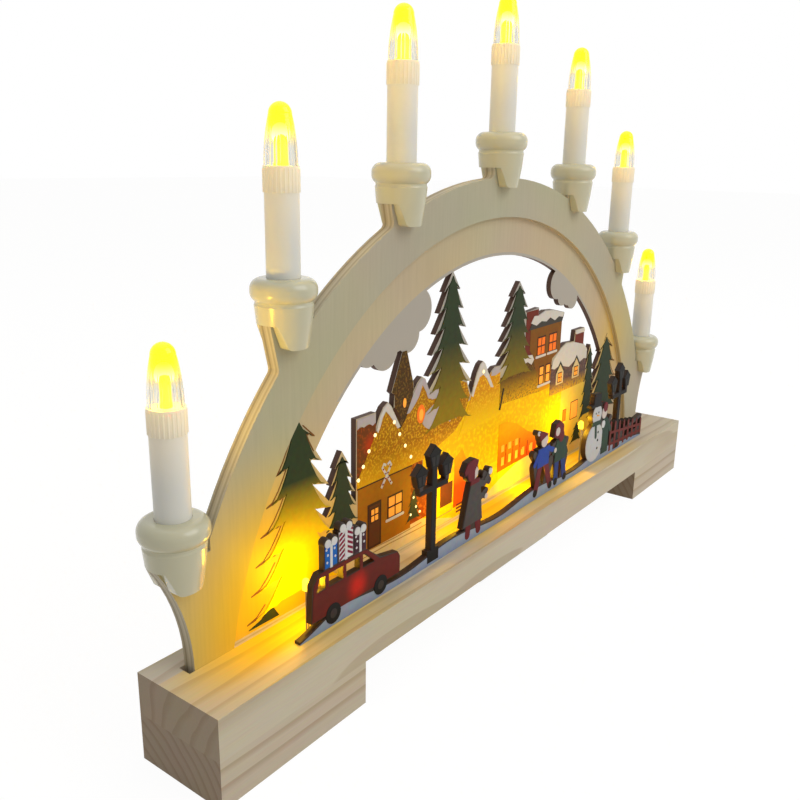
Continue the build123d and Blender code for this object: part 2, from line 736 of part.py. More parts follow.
def candle_leads():
    """Leads behind the arch: the supply up one leg, and a link from each cup to the next."""
    half = lead_spacing / 2
    drop = tongue_depth + lead_bend
    end = socket_top - socket_height - lead_hole_play
    last_x, last_z = candle_spots[-1]
    start_x = bay_right - lead_bend - lead_hole
    supply = [
        (start_x, lead_y, circuit_bottom + board_thickness + lead_hole_play),
        (start_x, lead_y, lead_under),
        (leg_lead_x, lead_y, lead_under), (leg_lead_x, lead_y, last_z - drop),
        (last_x + half, lead_y, last_z - drop), (last_x + half, lead_y, last_z + end),
    ]
    leads = [tube(supply, [lead_tuck, lead_bend, lead_bend, lead_bend], lead_diameter)]
    for spots in zip(candle_spots, candle_spots[1:]):
        (low_x, low_z), (high_x, high_z) = sorted(spots, key=lambda spot: spot[1])
        way = half if high_x > low_x else -half
        step = lead_step if high_x > low_x else -lead_step
        link = [
            (low_x + way, lead_y, low_z + end), (low_x + way, lead_y, low_z - drop),
            (low_x + way + step, lead_y, low_z - drop), (high_x - way, lead_y, high_z - drop),
            (high_x - way, lead_y, high_z + end),
        ]
        leads.append(tube(link, [lead_bend - lead_hole_play] * 3, lead_diameter))
    return Compound(leads)


def scene_led_spots():
    """Where the scene LEDs stand behind the strip."""
    return [(u * strip_length, base_top + v * figure_height) for u, v in scene_led_shares]


def scene_leads():
    """Two leads along the foot of the strip that go down through the beam to the circuit board."""
    spots = scene_led_spots()
    low = circuit_bottom + board_thickness + lead_hole_play
    ends = (spots[0][0] - bead_leg_spacing, spots[-1][0] + bead_leg_spacing)
    return Compound([
        tube([(end, scene_lead_y, scene_lead_z), (x, scene_lead_y, scene_lead_z), (x, scene_lead_y, low)],
             [scene_lead_bend], scene_lead_diameter)
        for end, x in zip(ends, scene_lead_places())
    ])


def scene_leds():
    """Small LEDs behind the figures, each on two legs that stand on the scene leads."""
    leds = []
    y = strip_back + bead_led_gap + bead_led_diameter / 2
    for x, z in scene_led_spots():
        low = z - bead_led_height / 2
        dome = bead_led_diameter / 2
        led = rod(bead_led_diameter, low, low + bead_led_height - dome, x, y)
        led += Pos(x, y, low + bead_led_height - dome) * Sphere(dome)
        leg_foot = scene_lead_z + scene_lead_diameter / 2 + scene_lead_gap
        for side in (-1, 1):
            led += rod(bead_leg_diameter, leg_foot, low, x + side * bead_leg_spacing / 2, scene_lead_y)
        leds.append(led)
    return Compound(leds)


def battery_box():
    """Box for the cells, open below, with a circuit bay that is open above, and two screw ears."""
    box = block((box_left, box_front, box_bottom), (box_right, box_back, box_top))
    inner_front = box_front + box_wall
    inner_back = box_back - box_wall
    box -= block((cells_left, inner_front, box_bottom - overrun),
                 (cells_right, inner_back, box_top - box_roof))
    slot_top = box_bottom + cover_lip + cover_thickness + cover_play
    box -= block((box_left - overrun, inner_front, box_bottom - overrun),
                 (cells_left, inner_back, slot_top))
    slot_low, slot_high = cover_tongue_levels(cover_play)
    tongue = cover_tongue + cover_play
    box -= block((box_left - overrun, inner_front - tongue, slot_low),
                 (cells_right, inner_back + tongue, slot_high))
    box -= block((bay_left, inner_front, bay_floor), (bay_right, inner_back, box_top + overrun))
    box -= switch_slot(box_bottom - overrun, bay_floor + overrun)
    box -= block((bay_right - overrun, lead_y - lead_hole / 2, foot_height),
                 (box_right + overrun, lead_y + lead_hole / 2, box_top + overrun))
    for y in cell_rows():
        box -= block((cells_right - overrun, y - contact_width / 4, bay_floor),
                     (bay_left + overrun, y + contact_width / 4, cell_axis_z))
    for x, y in screw_places():
        ear = block((x - ear_length / 2, y - ear_width / 2, foot_height - ear_thickness),
                    (x + ear_length / 2, y + ear_width / 2, foot_height))
        box += ear - rod(screw_diameter + 2 * screw_play, 0, base_top, x, y)
    return box


def cover_tongue_levels(play):
    """Lower and upper level of the cover's side tongues, with play all round."""
    middle = box_bottom + cover_lip + cover_thickness / 2
    return middle - cover_tongue_height / 2 - play, middle + cover_tongue_height / 2 + play


def battery_cover():
    """Cover that slides lengthwise in the box's side slots, with grip grooves at its outer end."""
    low = box_bottom + cover_lip
    right = cells_right - cover_play
    front = box_front + box_wall + cover_play
    back = box_back - box_wall - cover_play
    cover = block((box_left, front, low), (right, back, low + cover_thickness))
    tongue_low, tongue_high = cover_tongue_levels(0)
    cover += block((box_left, front - cover_tongue, tongue_low),
                   (right, back + cover_tongue, tongue_high))
    for groove in range(cover_grip_count):
        x = box_left + cover_grip_gap + groove * cover_grip_spacing
        cover -= block((x, front + cover_grip_gap, low - overrun),
                       (x + cover_grip_width, back - cover_grip_gap, low + cover_grip_depth))
    return cover


def cell_rows():
    """Where the axes of the two cells lie across the box."""
    step = (cell_diameter + cell_gap) / 2
    return [box_middle_y - step, box_middle_y + step]


def battery_cell(row):
    """One AA cell, its nub at the left in the first row and at the right in the second."""
    y = cell_rows()[row]
    body = rod(cell_diameter, 0, cell_body_length) + rod(nub_diameter, 0, cell_length)
    left = cells_left + contact_thickness
    if row == 0:
        return Pos(left + cell_length, y, cell_axis_z) * Rot(0, -90, 0) * body
    right = cells_right - contact_thickness
    return Pos(right - cell_length, y, cell_axis_z) * Rot(0, 90, 0) * body


def contact_sheet(left, front, back):
    """Flat contact sheet against an end wall of the cell bay."""
    half = contact_width / 2
    return block((left, front, cell_axis_z - half), (left + contact_thickness, back, cell_axis_z + half))


def contact_leaf(x, y, way):
    """Arched spring leaf that presses a cell's flat end, with its foot on the sheet at x."""
    half = contact_width / 2 - contact_thickness
    leaf_radius = (half ** 2 + leaf_rise ** 2) / (2 * leaf_rise)
    outer = disc(leaf_rise - leaf_radius, 0, leaf_radius)
    inner = disc(leaf_rise - leaf_radius, 0, leaf_radius - contact_thickness)
    leaf = (outer - inner) & strip_of(0, contact_width, -contact_width, contact_width)
    solid = extrude(Plane.XZ.offset(-leaf_width / 2) * leaf, leaf_width)
    turned = solid if way > 0 else Rot(0, 0, 180) * solid
    return Pos(x, y, cell_axis_z) * turned


def bridge_contact():
    """Contact at the left end that joins the two cells."""
    first, second = cell_rows()
    half = contact_width / 2
    sheet = contact_sheet(cells_left, first - half, second + half)
    return sheet + contact_leaf(cells_left + contact_thickness, second, 1)


def terminal_contacts():
    """Contacts at the right end, each with a tab through the partition."""
    first, second = cell_rows()
    half = contact_width / 2
    left = cells_right - contact_thickness
    tab_half = contact_width / 6
    tab_low = cell_axis_z - contact_width / 4
    contacts = []
    for y in (first, second):
        tab = block((left, y - tab_half, tab_low),
                    (bay_left + contact_thickness, y + tab_half, tab_low + contact_thickness))
        contacts.append(contact_sheet(left, y - half, y + half) + tab)
    contacts[0] += contact_leaf(left, first, -1)
    return Compound(contacts)


def switch_slot(low, high):
    """Slot for the switch's stem, as long as the stem and its travel."""
    half = slider_stem_width / 2 + slider_play
    start = slider_start()
    return block((bay_x - half, start - slider_play, low),
                 (bay_x + half, start + slider_stem_length + slider_travel + slider_play, high))


def slider_start():
    """Where the stem begins along Y when the switch is off."""
    return box_middle_y - (slider_stem_length + slider_travel) / 2


def switch_body():
    """Switch housing on the bay's floor, hollow for the slider's head."""
    low = bay_floor
    half_width = switch_width / 2
    half_length = switch_length / 2
    body = block((bay_x - half_width, box_middle_y - half_length, low),
                 (bay_x + half_width, box_middle_y + half_length, low + switch_height))
    half_width -= switch_wall
    half_length -= switch_wall
    body -= block((bay_x - half_width, box_middle_y - half_length, low + switch_wall),
                  (bay_x + half_width, box_middle_y + half_length, low + switch_height - switch_wall))
    return body - switch_slot(low - overrun, low + switch_wall + overrun)


def switch_slider():
    """Slider of the switch: a head inside the housing and a stem that stands out below the box."""
    start = slider_start()
    middle = start + slider_stem_length / 2
    low = bay_floor + switch_wall + slider_play
    half_head = switch_width / 2 - switch_wall - slider_play
    head = block((bay_x - half_head, middle - slider_head_length / 2, low),
                 (bay_x + half_head, middle + slider_head_length / 2, low + slider_head_height))
    return head + block((bay_x - slider_stem_width / 2, start, box_bottom - slider_reach),
                        (bay_x + slider_stem_width / 2, start + slider_stem_length, low))


def circuit_board():
    """Circuit board on top of the switch housing."""
    front = box_front + box_wall + board_edge_gap
    back = box_back - box_wall - board_edge_gap
    return block((bay_left + board_edge_gap, front, circuit_bottom),
                 (bay_right - board_edge_gap, back, circuit_bottom + board_thickness))


def box_screws():
    """Screws that hold the box's ears to the beam."""
    screws = []
    under = foot_height - ear_thickness
    for x, y in screw_places():
        screws.append(rod(screw_head_diameter, under - screw_head_height, under, x, y)
                      + rod(screw_diameter, under, under + screw_length, x, y))
    return Compound(screws)


def save(name, shape):
    """Writes one piece under its node's name."""
    export_step(shape, f"parts/{name}.step")


def main():
    os.makedirs("parts", exist_ok=True)
    save("base_beam", base_beam())
    save("left_foot", foot(-1))
    save("right_foot", foot(1))
    save("foot_dowels", foot_dowels())
    save("arch_plate", arch_plate())
    save("scene_board", scene_board())
    save("figure_strip", figure_strip())
    candle_pieces = {
        "candle_cup": candle_cup(),
        "candle_shaft": candle_shaft(),
        "bulb_collar": bulb_collar(),
        "flame_cap": flame_cap(),
        "bulb_led": bulb_led(),
    }
    for number, (x, z) in enumerate(candle_spots, start=1):
        for name, piece in candle_pieces.items():
            save(f"{name}_{number}", Pos(x, arch_middle, z) * piece)
    socket = lamp_socket()
    save("lamp_sockets", Compound([Pos(x, arch_middle, z) * socket for x, z in candle_spots]))
    save("candle_leads", candle_leads())
    save("scene_leads", scene_leads())
    save("scene_leds", scene_leds())
    save("battery_box", battery_box())
    save("battery_cover", battery_cover())
    save("battery_cell_1", battery_cell(0))
    save("battery_cell_2", battery_cell(1))
    save("bridge_contact", bridge_contact())
    save("terminal_contacts", terminal_contacts())
    save("switch_body", switch_body())
    save("switch_slider", switch_slider())
    save("circuit_board", circuit_board())
    save("box_screws", box_screws())


main()
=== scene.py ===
"""Looks of the candle arch: whitewashed plywood, printed village, plug-in candle lamps and pine base."""
import logging
import math
from collections import defaultdict
from dataclasses import dataclass, field
from enum import Enum
from typing import Any, Callable, Iterable

import bpy
from bpy.types import Material, Node, NodeSocket, NodeTree, Object
from mathutils import Matrix, Vector


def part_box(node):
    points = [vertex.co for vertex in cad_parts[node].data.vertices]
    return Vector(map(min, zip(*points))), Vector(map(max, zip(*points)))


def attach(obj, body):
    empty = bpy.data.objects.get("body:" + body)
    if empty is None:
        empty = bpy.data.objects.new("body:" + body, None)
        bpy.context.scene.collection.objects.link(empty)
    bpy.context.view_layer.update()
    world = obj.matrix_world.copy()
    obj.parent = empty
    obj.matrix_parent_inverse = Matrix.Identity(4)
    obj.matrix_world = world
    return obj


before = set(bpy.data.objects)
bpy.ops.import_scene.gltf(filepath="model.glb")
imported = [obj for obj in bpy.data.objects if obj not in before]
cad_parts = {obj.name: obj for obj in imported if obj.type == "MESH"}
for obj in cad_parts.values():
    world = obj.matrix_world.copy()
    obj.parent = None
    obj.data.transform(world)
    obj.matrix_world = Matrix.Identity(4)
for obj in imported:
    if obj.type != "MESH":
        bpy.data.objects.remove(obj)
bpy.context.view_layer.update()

MM = 0.001
LOG = logging.getLogger("candle_arch")

Pair = tuple[float, float]
Point = Pair
Triple = tuple[float, float, float]
Quad = tuple[float, float, float, float]
Outline = list[Point]
Colour = Quad
Limb = tuple[float, float, float, float, float]


def linear(hex_code: str) -> Colour:
    """Turns an sRGB hex colour into a linear one.

    Args:
        hex_code: Colour such as "#C8B48C".

    Returns:
        Red, green, blue and full alpha.
    """
    channels = [int(hex_code[i:i + 2], 16) / 255 for i in (1, 3, 5)]
    bent = [c / 12.92 if c <= 0.04045 else ((c + 0.055) / 1.055) ** 2.4 for c in channels]
    return bent[0], bent[1], bent[2], 1.0


def feed(tree: NodeTree, node: Node, inputs: dict[Any, Any]) -> None:
    """Gives a node's inputs their constants and links.

    Args:
        tree: Node tree of the node.
        node: Node that is fed.
        inputs: Constant or output socket for each input, by name or number.
    """
    for socket, value in inputs.items():
        if isinstance(value, NodeSocket):
            tree.links.new(value, node.inputs[socket])
        else:
            node.inputs[socket].default_value = value


def add_node(tree: NodeTree, kind: str, inputs: dict[Any, Any] | None = None,
             stops: list[tuple[float, str]] | None = None, **settings: Any) -> Node:
    """Adds a node with its settings, constants and links.

    Args:
        tree: Node tree that gets the node.
        kind: Type of the node.
        inputs: Constant or output socket for each input, by name or number.
        stops: Places and hex colours of a colour ramp.
        settings: Attributes of the node.

    Returns:
        The new node.
    """
    node = tree.nodes.new(kind)
    for name, value in settings.items():
        setattr(node, name, value)
    feed(tree, node, inputs or {})
    if stops:
        ramp = node.color_ramp
        while len(ramp.elements) < len(stops):
            ramp.elements.new(1.0)
        for element, (place, hex_code) in zip(ramp.elements, stops):
            element.position = place
            element.color = linear(hex_code)
    return node


def new_material(name: str) -> tuple[Material, NodeTree, Node]:
    """Makes a material with one principled shader.

    Args:
        name: Name of the material.

    Returns:
        The material, its node tree and the shader.
    """
    material = bpy.data.materials.new(name)
    material.use_nodes = True
    tree = material.node_tree
    return material, tree, tree.nodes["Principled BSDF"]


def mix(tree: NodeTree, share: Any, first: Any, second: Any, blend: str = "MIX") -> NodeSocket:
    """Mixes two colours, with a share of the second one."""
    return add_node(tree, "ShaderNodeMix", {0: share, 6: first, 7: second}, data_type="RGBA",
                    blend_type=blend, clamp_result=True).outputs[2]


def calc(tree: NodeTree, operation: str, first: Any, second: Any = 0.0, third: Any = 0.0,
         clamp: bool = False) -> NodeSocket:
    """Works out one number from up to three others."""
    return add_node(tree, "ShaderNodeMath", {0: first, 1: second, 2: third}, operation=operation,
                    use_clamp=clamp).outputs[0]


def vector_calc(tree: NodeTree, operation: str, first: Any,
                second: Triple = (0.0, 0.0, 0.0),
                output: str = "Vector") -> NodeSocket:
    """Works out a vector from two others, or a number if the output is Value."""
    return add_node(tree, "ShaderNodeVectorMath", {0: first, 1: second},
                    operation=operation).outputs[output]


def spread(tree: NodeTree, value: Any, low: float, high: float, bottom: float = 0.0,
           top: float = 1.0, curve: str = "LINEAR") -> NodeSocket:
    """Spreads the values from low to high over those from bottom to top."""
    return add_node(tree, "ShaderNodeMapRange", {
        "Value": value, "From Min": low, "From Max": high, "To Min": bottom, "To Max": top},
        interpolation_type=curve).outputs[0]


def noise(tree: NodeTree, place: NodeSocket, scale: Any, detail: float) -> Node:
    """Adds a noise in the object's own coordinates.

    Args:
        tree: Node tree.
        place: Socket of the coordinates.
        scale: One scale, or one for each axis, per metre.
        detail: Detail of the noise.

    Returns:
        The noise node.
    """
    if isinstance(scale, tuple):
        place = add_node(tree, "ShaderNodeMapping", {"Vector": place, "Scale": scale}).outputs[0]
        scale = 1.0
    return add_node(tree, "ShaderNodeTexNoise", {"Vector": place, "Scale": scale, "Detail": detail})


def split(tree: NodeTree, vector: NodeSocket) -> Any:
    """Splits a vector into its X, Y and Z sockets."""
    return add_node(tree, "ShaderNodeSeparateXYZ", {0: vector}).outputs


def add_bump(tree: NodeTree, shader: Node, height: NodeSocket, strength: float, depth_mm: float) -> None:
    """Gives a shader a fine relief."""
    bump = add_node(tree, "ShaderNodeBump", {"Height": height, "Strength": strength,
                                             "Distance": depth_mm * MM})
    feed(tree, shader, {"Normal": bump.outputs[0]})


@dataclass(frozen=True)
class LampPool:
    """Pool of warm light that a scene lamp throws on the wood near it."""

    centre_mm: Triple
    core_mm: float
    edge_mm: float


POOLS = (
    LampPool((-166.0, 2.0, 52.0), 12.0, 84.0),
    LampPool((-20.0, 2.0, 40.0), 14.0, 62.0),
    LampPool((46.0, 2.0, 42.0), 20.0, 72.0),
    LampPool((118.0, 2.0, 46.0), 8.0, 60.0),
    LampPool((158.0, 8.0, 108.0), -60.0, 74.0),
)
POOL_TINT = "#FFD808"


def pool_share(tree: NodeTree, place: Node, way: Triple) -> NodeSocket:
    """Share of lamp light at a point, on faces that look one way.

    Args:
        tree: Node tree.
        place: Texture coordinate node.
        way: Direction that the lit faces look.

    Returns:
        Socket from 0 to 1.
    """
    total: Any = 0.0
    for pool in POOLS:
        centre = tuple(c * MM for c in pool.centre_mm)
        away = vector_calc(tree, "DISTANCE", place.outputs["Object"], centre, "Value")
        near = spread(tree, away, pool.edge_mm * MM, pool.core_mm * MM, curve="SMOOTHERSTEP")
        total = calc(tree, "MAXIMUM", near, total)
    facing = vector_calc(tree, "DOT_PRODUCT", place.outputs["Normal"], way, "Value")
    return calc(tree, "MULTIPLY", total, facing, clamp=True)


def light_pool(tree: NodeTree, shader: Node, share: NodeSocket, colour: Any, strength: float) -> None:
    """Colours a wood with the lamps' light where it falls.

    Args:
        tree: Node tree.
        shader: Principled shader of the wood.
        share: Share of lamp light.
        colour: Socket of the unlit wood.
        strength: Light that the wood throws back.
    """
    warm = mix(tree, 1.0, colour, linear(POOL_TINT), "MULTIPLY")
    feed(tree, shader, {"Base Color": mix(tree, share, colour, warm), "Emission Color": warm,
                        "Emission Strength": calc(tree, "MULTIPLY", share, strength)})


@dataclass(frozen=True)
class PineFinish:
    """Planed bare pine: rings run through it as a solid, with arcs on its ends and lines on its sides."""

    name: str
    early: str
    late: str
    end_shade: str
    ring_mm: float
    pith_mm: Pair
    waver: float = 3.2
    fibre_mm: float = 0.9
    fibre_along: float = 60.0
    fibre_share: float = 0.2
    drift: Triple = (4.0, 26.0, 26.0)
    stain_scale: float = 2.3
    stain_share: float = 0.12
    end_limit: float = 0.7
    strip_shade_mm: Pair = (-17.0, -7.0)
    shaded_share: float = 0.4
    lit_limit_mm: float = 10.0
    pool_strength: float = 0.4
    bump_strength: float = 0.12
    bump_mm: float = 0.4
    roughness: float = 0.62

    def material(self) -> Material:
        """Builds the pine material."""
        material, tree, shader = new_material(self.name)
        place = add_node(tree, "ShaderNodeTexCoord")
        solid = place.outputs["Object"]
        drift = add_node(tree, "ShaderNodeMapping", {"Vector": solid, "Scale": self.drift}).outputs[0]
        waver = noise(tree, drift, 1.0, 2.0).outputs["Fac"]
        pith = (0.0, self.pith_mm[0] * MM, self.pith_mm[1] * MM)
        across = vector_calc(tree, "MULTIPLY", vector_calc(tree, "SUBTRACT", solid, pith), (0, 1, 1))
        radius = vector_calc(tree, "LENGTH", across, output="Value")
        turns = calc(tree, "MULTIPLY", radius, 1 / (self.ring_mm * MM))
        year = calc(tree, "FRACT", calc(tree, "MULTIPLY_ADD", waver, self.waver, turns))
        ring = add_node(tree, "ShaderNodeValToRGB", {0: year}, stops=[
            (0.0, self.early), (0.55, self.early), (0.86, self.late), (0.97, self.late), (1.0, self.early)])
        fine = 1 / (self.fibre_mm * MM)
        fibre = noise(tree, solid, (self.fibre_along, fine, fine), 2.0)
        stain = noise(tree, drift, self.stain_scale, 1.0)
        patchy = mix(tree, self.stain_share, ring.outputs[0], stain.outputs["Color"], "SOFT_LIGHT")
        fibred = mix(tree, self.fibre_share, patchy, fibre.outputs["Color"], "SOFT_LIGHT")
        endwise = calc(tree, "ABSOLUTE", split(tree, place.outputs["Normal"])["X"])
        end = calc(tree, "GREATER_THAN", endwise, self.end_limit)
        ended = mix(tree, end, fibred, mix(tree, 1.0, fibred, linear(self.end_shade), "MULTIPLY"))
        depth = split(tree, solid)["Y"]
        behind = spread(tree, depth, self.strip_shade_mm[0] * MM, self.strip_shade_mm[1] * MM,
                        self.shaded_share)
        ahead = calc(tree, "LESS_THAN", depth, self.lit_limit_mm * MM)
        reached = calc(tree, "MULTIPLY", behind, ahead)
        share = calc(tree, "MULTIPLY", pool_share(tree, place, (0, 0, 1)), reached)
        light_pool(tree, shader, share, ended, self.pool_strength)
        add_bump(tree, shader, fibre.outputs["Fac"], self.bump_strength, self.bump_mm)
        feed(tree, shader, {"Roughness": self.roughness})
        return material


class EdgeKind(Enum):
    """How the sawn edge of a board looks."""

    BARE = "bare"
    SCORCHED = "scorched"
    RING = "ring"


@dataclass(frozen=True)
class PlywoodFinish:
    """Laser-cut plywood: a thin whitewash on the faces, and edges that show bare layers or brown scorch."""

    name: str
    face: str
    face_shade: str
    layer_light: str
    layer_dark: str
    scorch: str
    front_mm: float
    edge: EdgeKind
    thickness_mm: float = 3.0
    scorch_share: float = 0.9
    cloud: str = ""
    cloud_from_mm: float = 124.0
    scorch_radius_mm: float = 176.5
    scorch_centre_mm: float = 1.0
    pool_strength: float = 0.5
    streak_mm: float = 1.1
    streak_along: float = 45.0
    streak_range: Pair = (0.35, 0.75)
    wash_scale: float = 14.0
    wash_share: float = 0.25
    face_limit: float = 0.6
    bump_strength: float = 0.06
    bump_mm: float = 0.3
    roughness: float = 0.6

    def material(self) -> Material:
        """Builds the plywood material."""
        material, tree, shader = new_material(self.name)
        place = add_node(tree, "ShaderNodeTexCoord")
        solid = place.outputs["Object"]
        where = split(tree, solid)
        streak = noise(tree, solid, (1 / (self.streak_mm * MM), self.streak_along, self.streak_along), 3.0)
        cloudy = noise(tree, solid, self.wash_scale, 2.0)
        streaks = spread(tree, streak.outputs["Fac"], *self.streak_range)
        washed = mix(tree, streaks, linear(self.face), linear(self.face_shade))
        face = mix(tree, self.wash_share, washed, cloudy.outputs["Color"], "SOFT_LIGHT")
        back_mm = self.front_mm + self.thickness_mm
        depth = spread(tree, where["Y"], self.front_mm * MM, back_mm * MM)
        layers = add_node(tree, "ShaderNodeValToRGB", {0: depth}, stops=[
            (0.0, self.layer_light), (0.33, self.layer_dark), (0.67, self.layer_light)])
        layers.color_ramp.interpolation = "CONSTANT"
        edge = layers.outputs[0]
        if self.edge is EdgeKind.SCORCHED:
            edge = mix(tree, self.scorch_share, edge, linear(self.scorch))
        elif self.edge is EdgeKind.RING:
            centre = (0.0, 0.0, self.scorch_centre_mm * MM)
            flat = vector_calc(tree, "MULTIPLY", vector_calc(tree, "SUBTRACT", solid, centre), (1, 0, 1))
            radius = vector_calc(tree, "LENGTH", flat, output="Value")
            inside = calc(tree, "LESS_THAN", radius, self.scorch_radius_mm * MM)
            edge = mix(tree, inside, edge, linear(self.scorch))
            high = calc(tree, "GREATER_THAN", where["Z"], self.cloud_from_mm * MM)
            ahead = calc(tree, "LESS_THAN", where["Y"], (self.front_mm + back_mm) / 2 * MM)
            printed = calc(tree, "MULTIPLY", calc(tree, "MULTIPLY", inside, high), ahead)
            face = mix(tree, printed, face, linear(self.cloud))
        outward = calc(tree, "ABSOLUTE", split(tree, place.outputs["Normal"])["Y"])
        board = mix(tree, calc(tree, "GREATER_THAN", outward, self.face_limit), edge, face)
        light_pool(tree, shader, pool_share(tree, place, (0, -1, 0)), board, self.pool_strength)
        add_bump(tree, shader, streak.outputs["Fac"], self.bump_strength, self.bump_mm)
        feed(tree, shader, {"Roughness": self.roughness})
        return material


@dataclass(frozen=True)
class PrintFinish:
    """Flat ink on wood: a dull even colour, some with a speckle, a fade to the foot, a painted glow or a
    round spot of painted glow. The speckle is gold flecks and texture on most inks, and a painted grain of
    lamp glow on the lamp yellow; the golden and yellow feet are painted lamp glow.
    """

    name: str
    colour: str
    dust_and_glow_speckle: str = ""
    dust_and_glow_speckle_mm: float = 1.3
    dust_and_glow_speckle_range: Pair = (0.48, 0.66)
    foot_colour: str = ""
    fade_mm: Pair = (0.0, 1.0)
    glow: float = 0.0
    painted_glow_colour: str = ""
    painted_glow_centre_mm: Triple = (0.0, 0.0, 0.0)
    painted_glow_radius_mm: float = 1.0
    mottle_scale: float = 350.0
    mottle_share: float = 0.3
    roughness: float = 0.6
    specular: float = 0.15

    def material(self) -> Material:
        """Builds the ink material."""
        material, tree, shader = new_material(self.name)
        solid = add_node(tree, "ShaderNodeTexCoord").outputs["Object"]
        mottle = noise(tree, solid, self.mottle_scale, 2.0)
        ink: Any = linear(self.colour)
        # On the golden and yellow feet this fade is painted lamp glow from the LEDs below; on the orange wall
        # and the ice it is a plain fade of colour.
        if self.foot_colour:
            low = spread(tree, split(tree, solid)["Z"], self.fade_mm[1] * MM, self.fade_mm[0] * MM)
            ink = mix(tree, low, ink, linear(self.foot_colour))
        # Speckle of a second colour: gold flecks and texture on most inks, and a painted grain of lamp glow
        # on the lamp yellow.
        if self.dust_and_glow_speckle:
            grains = noise(tree, solid, 1 / (self.dust_and_glow_speckle_mm * MM), 2.0)
            ink = mix(tree, spread(tree, grains.outputs["Fac"], *self.dust_and_glow_speckle_range), ink, linear(self.dust_and_glow_speckle))
        # Painted glow: a soft round spot of brighter colour that stands in for lamp light on the ink.
        if self.painted_glow_colour:
            away = vector_calc(tree, "DISTANCE", solid, tuple(c * MM for c in self.painted_glow_centre_mm), "Value")
            near = spread(tree, away, self.painted_glow_radius_mm * MM, 0.0, curve="SMOOTHSTEP")
            ink = mix(tree, near, ink, linear(self.painted_glow_colour))
        mottled = mix(tree, self.mottle_share, ink, mottle.outputs["Color"], "SOFT_LIGHT")
        feed(tree, shader, {"Base Color": mottled, "Roughness": self.roughness,
                            "Specular IOR Level": self.specular})
        # Painted glow: printed panes and twinkles shine by emission though they are ink, not lamps.
        if self.glow:
            feed(tree, shader, {"Emission Color": linear(self.colour), "Emission Strength": self.glow})
        return material


@dataclass(frozen=True)
class PlasticFinish:
    """Moulded plastic: even colour, a soft gloss, a little light inside, and a painted warm glow at the top
    where a lamp sits.
    """

    name: str
    colour: str
    roughness: float = 0.3
    inside: float = 0.0
    warm: str = ""
    painted_glow_from_mm: float = 0.0
    painted_glow_to_mm: float = 0.0
    painted_glow_strength: float = 0.0
    coat: float = 0.0
    coat_roughness: float = 0.08
    refraction: float = 1.49
    inside_mm: float = 2.5
    inside_radius: Triple = (1.0, 0.7, 0.4)

    def material(self) -> Material:
        """Builds the plastic material."""
        material, tree, shader = new_material(self.name)
        feed(tree, shader, {"Base Color": linear(self.colour), "Roughness": self.roughness,
                            "IOR": self.refraction, "Coat Weight": self.coat,
                            "Coat Roughness": self.coat_roughness})
        if self.inside:
            feed(tree, shader, {"Subsurface Weight": self.inside, "Subsurface Radius": self.inside_radius,
                                "Subsurface Scale": self.inside_mm * MM})
        # Painted glow: emission rising towards the top, in place of the lamp's light shining through the
        # plastic.
        if self.warm:
            solid = add_node(tree, "ShaderNodeTexCoord").outputs["Object"]
            rise = spread(tree, split(tree, solid)["Z"], self.painted_glow_from_mm * MM, self.painted_glow_to_mm * MM,
                          top=self.painted_glow_strength, curve="SMOOTHSTEP")
            feed(tree, shader, {"Emission Color": linear(self.warm), "Emission Strength": rise})
        return material


@dataclass(frozen=True)
class ClearFinish:
    """Clear moulded acrylic that gathers the lamp's yellow light in its tip."""

    name: str
    colour: str
    light: str
    low_mm: float
    high_mm: float
    strength: float
    roughness: float = 0.06
    refraction: float = 1.45

    def material(self) -> Material:
        """Builds the clear material."""
        material, tree, shader = new_material(self.name)
        feed(tree, shader, {"Roughness": self.roughness, "IOR": self.refraction, "Transmission Weight": 1.0,
                            "Emission Color": linear(self.light)})
        solid = add_node(tree, "ShaderNodeTexCoord").outputs["Object"]
        rise = spread(tree, split(tree, solid)["Z"], self.low_mm * MM, self.high_mm * MM,
                      curve="SMOOTHSTEP")
        tinted = mix(tree, rise, linear(self.colour), linear(self.light))
        feed(tree, shader, {"Base Color": tinted,
                            "Emission Strength": calc(tree, "MULTIPLY", rise, self.strength)})
        return material


@dataclass(frozen=True)
class LampFinish:
    """Warm LED lens that shines evenly above its legs."""

    name: str
    colour: str
    strength: float
    leg_colour: str = "#8A8272"
    heads_mm: tuple[Pair, ...] = ()
    head_width_mm: float = 6.0

    def material(self) -> Material:
        """Builds the shining material."""
        material, tree, shader = new_material(self.name)
        feed(tree, shader, {"Base Color": linear(self.colour), "Emission Color": linear(self.colour),
                            "Emission Strength": self.strength})
        if self.heads_mm:
            where = split(tree, add_node(tree, "ShaderNodeTexCoord").outputs["Object"])
            total: Any = 0.0
            for x, z in self.heads_mm:
                beside = calc(tree, "COMPARE", where["X"], x * MM, self.head_width_mm / 2 * MM)
                above = calc(tree, "GREATER_THAN", where["Z"], z * MM)
                total = calc(tree, "MAXIMUM", calc(tree, "MULTIPLY", beside, above), total)
            lens = mix(tree, total, linear(self.leg_colour), linear(self.colour))
            feed(tree, shader, {"Base Color": lens,
                                "Emission Strength": calc(tree, "MULTIPLY", total, self.strength)})
        return material


@dataclass(frozen=True)
class MetalFinish:
    """Plated steel sheet or wire, slightly dull from rolling."""

    name: str
    colour: str
    roughness: float

    def material(self) -> Material:
        """Builds the metal material."""
        material, tree, shader = new_material(self.name)
        feed(tree, shader, {"Base Color": linear(self.colour), "Metallic": 1.0,
                            "Roughness": self.roughness})
        return material


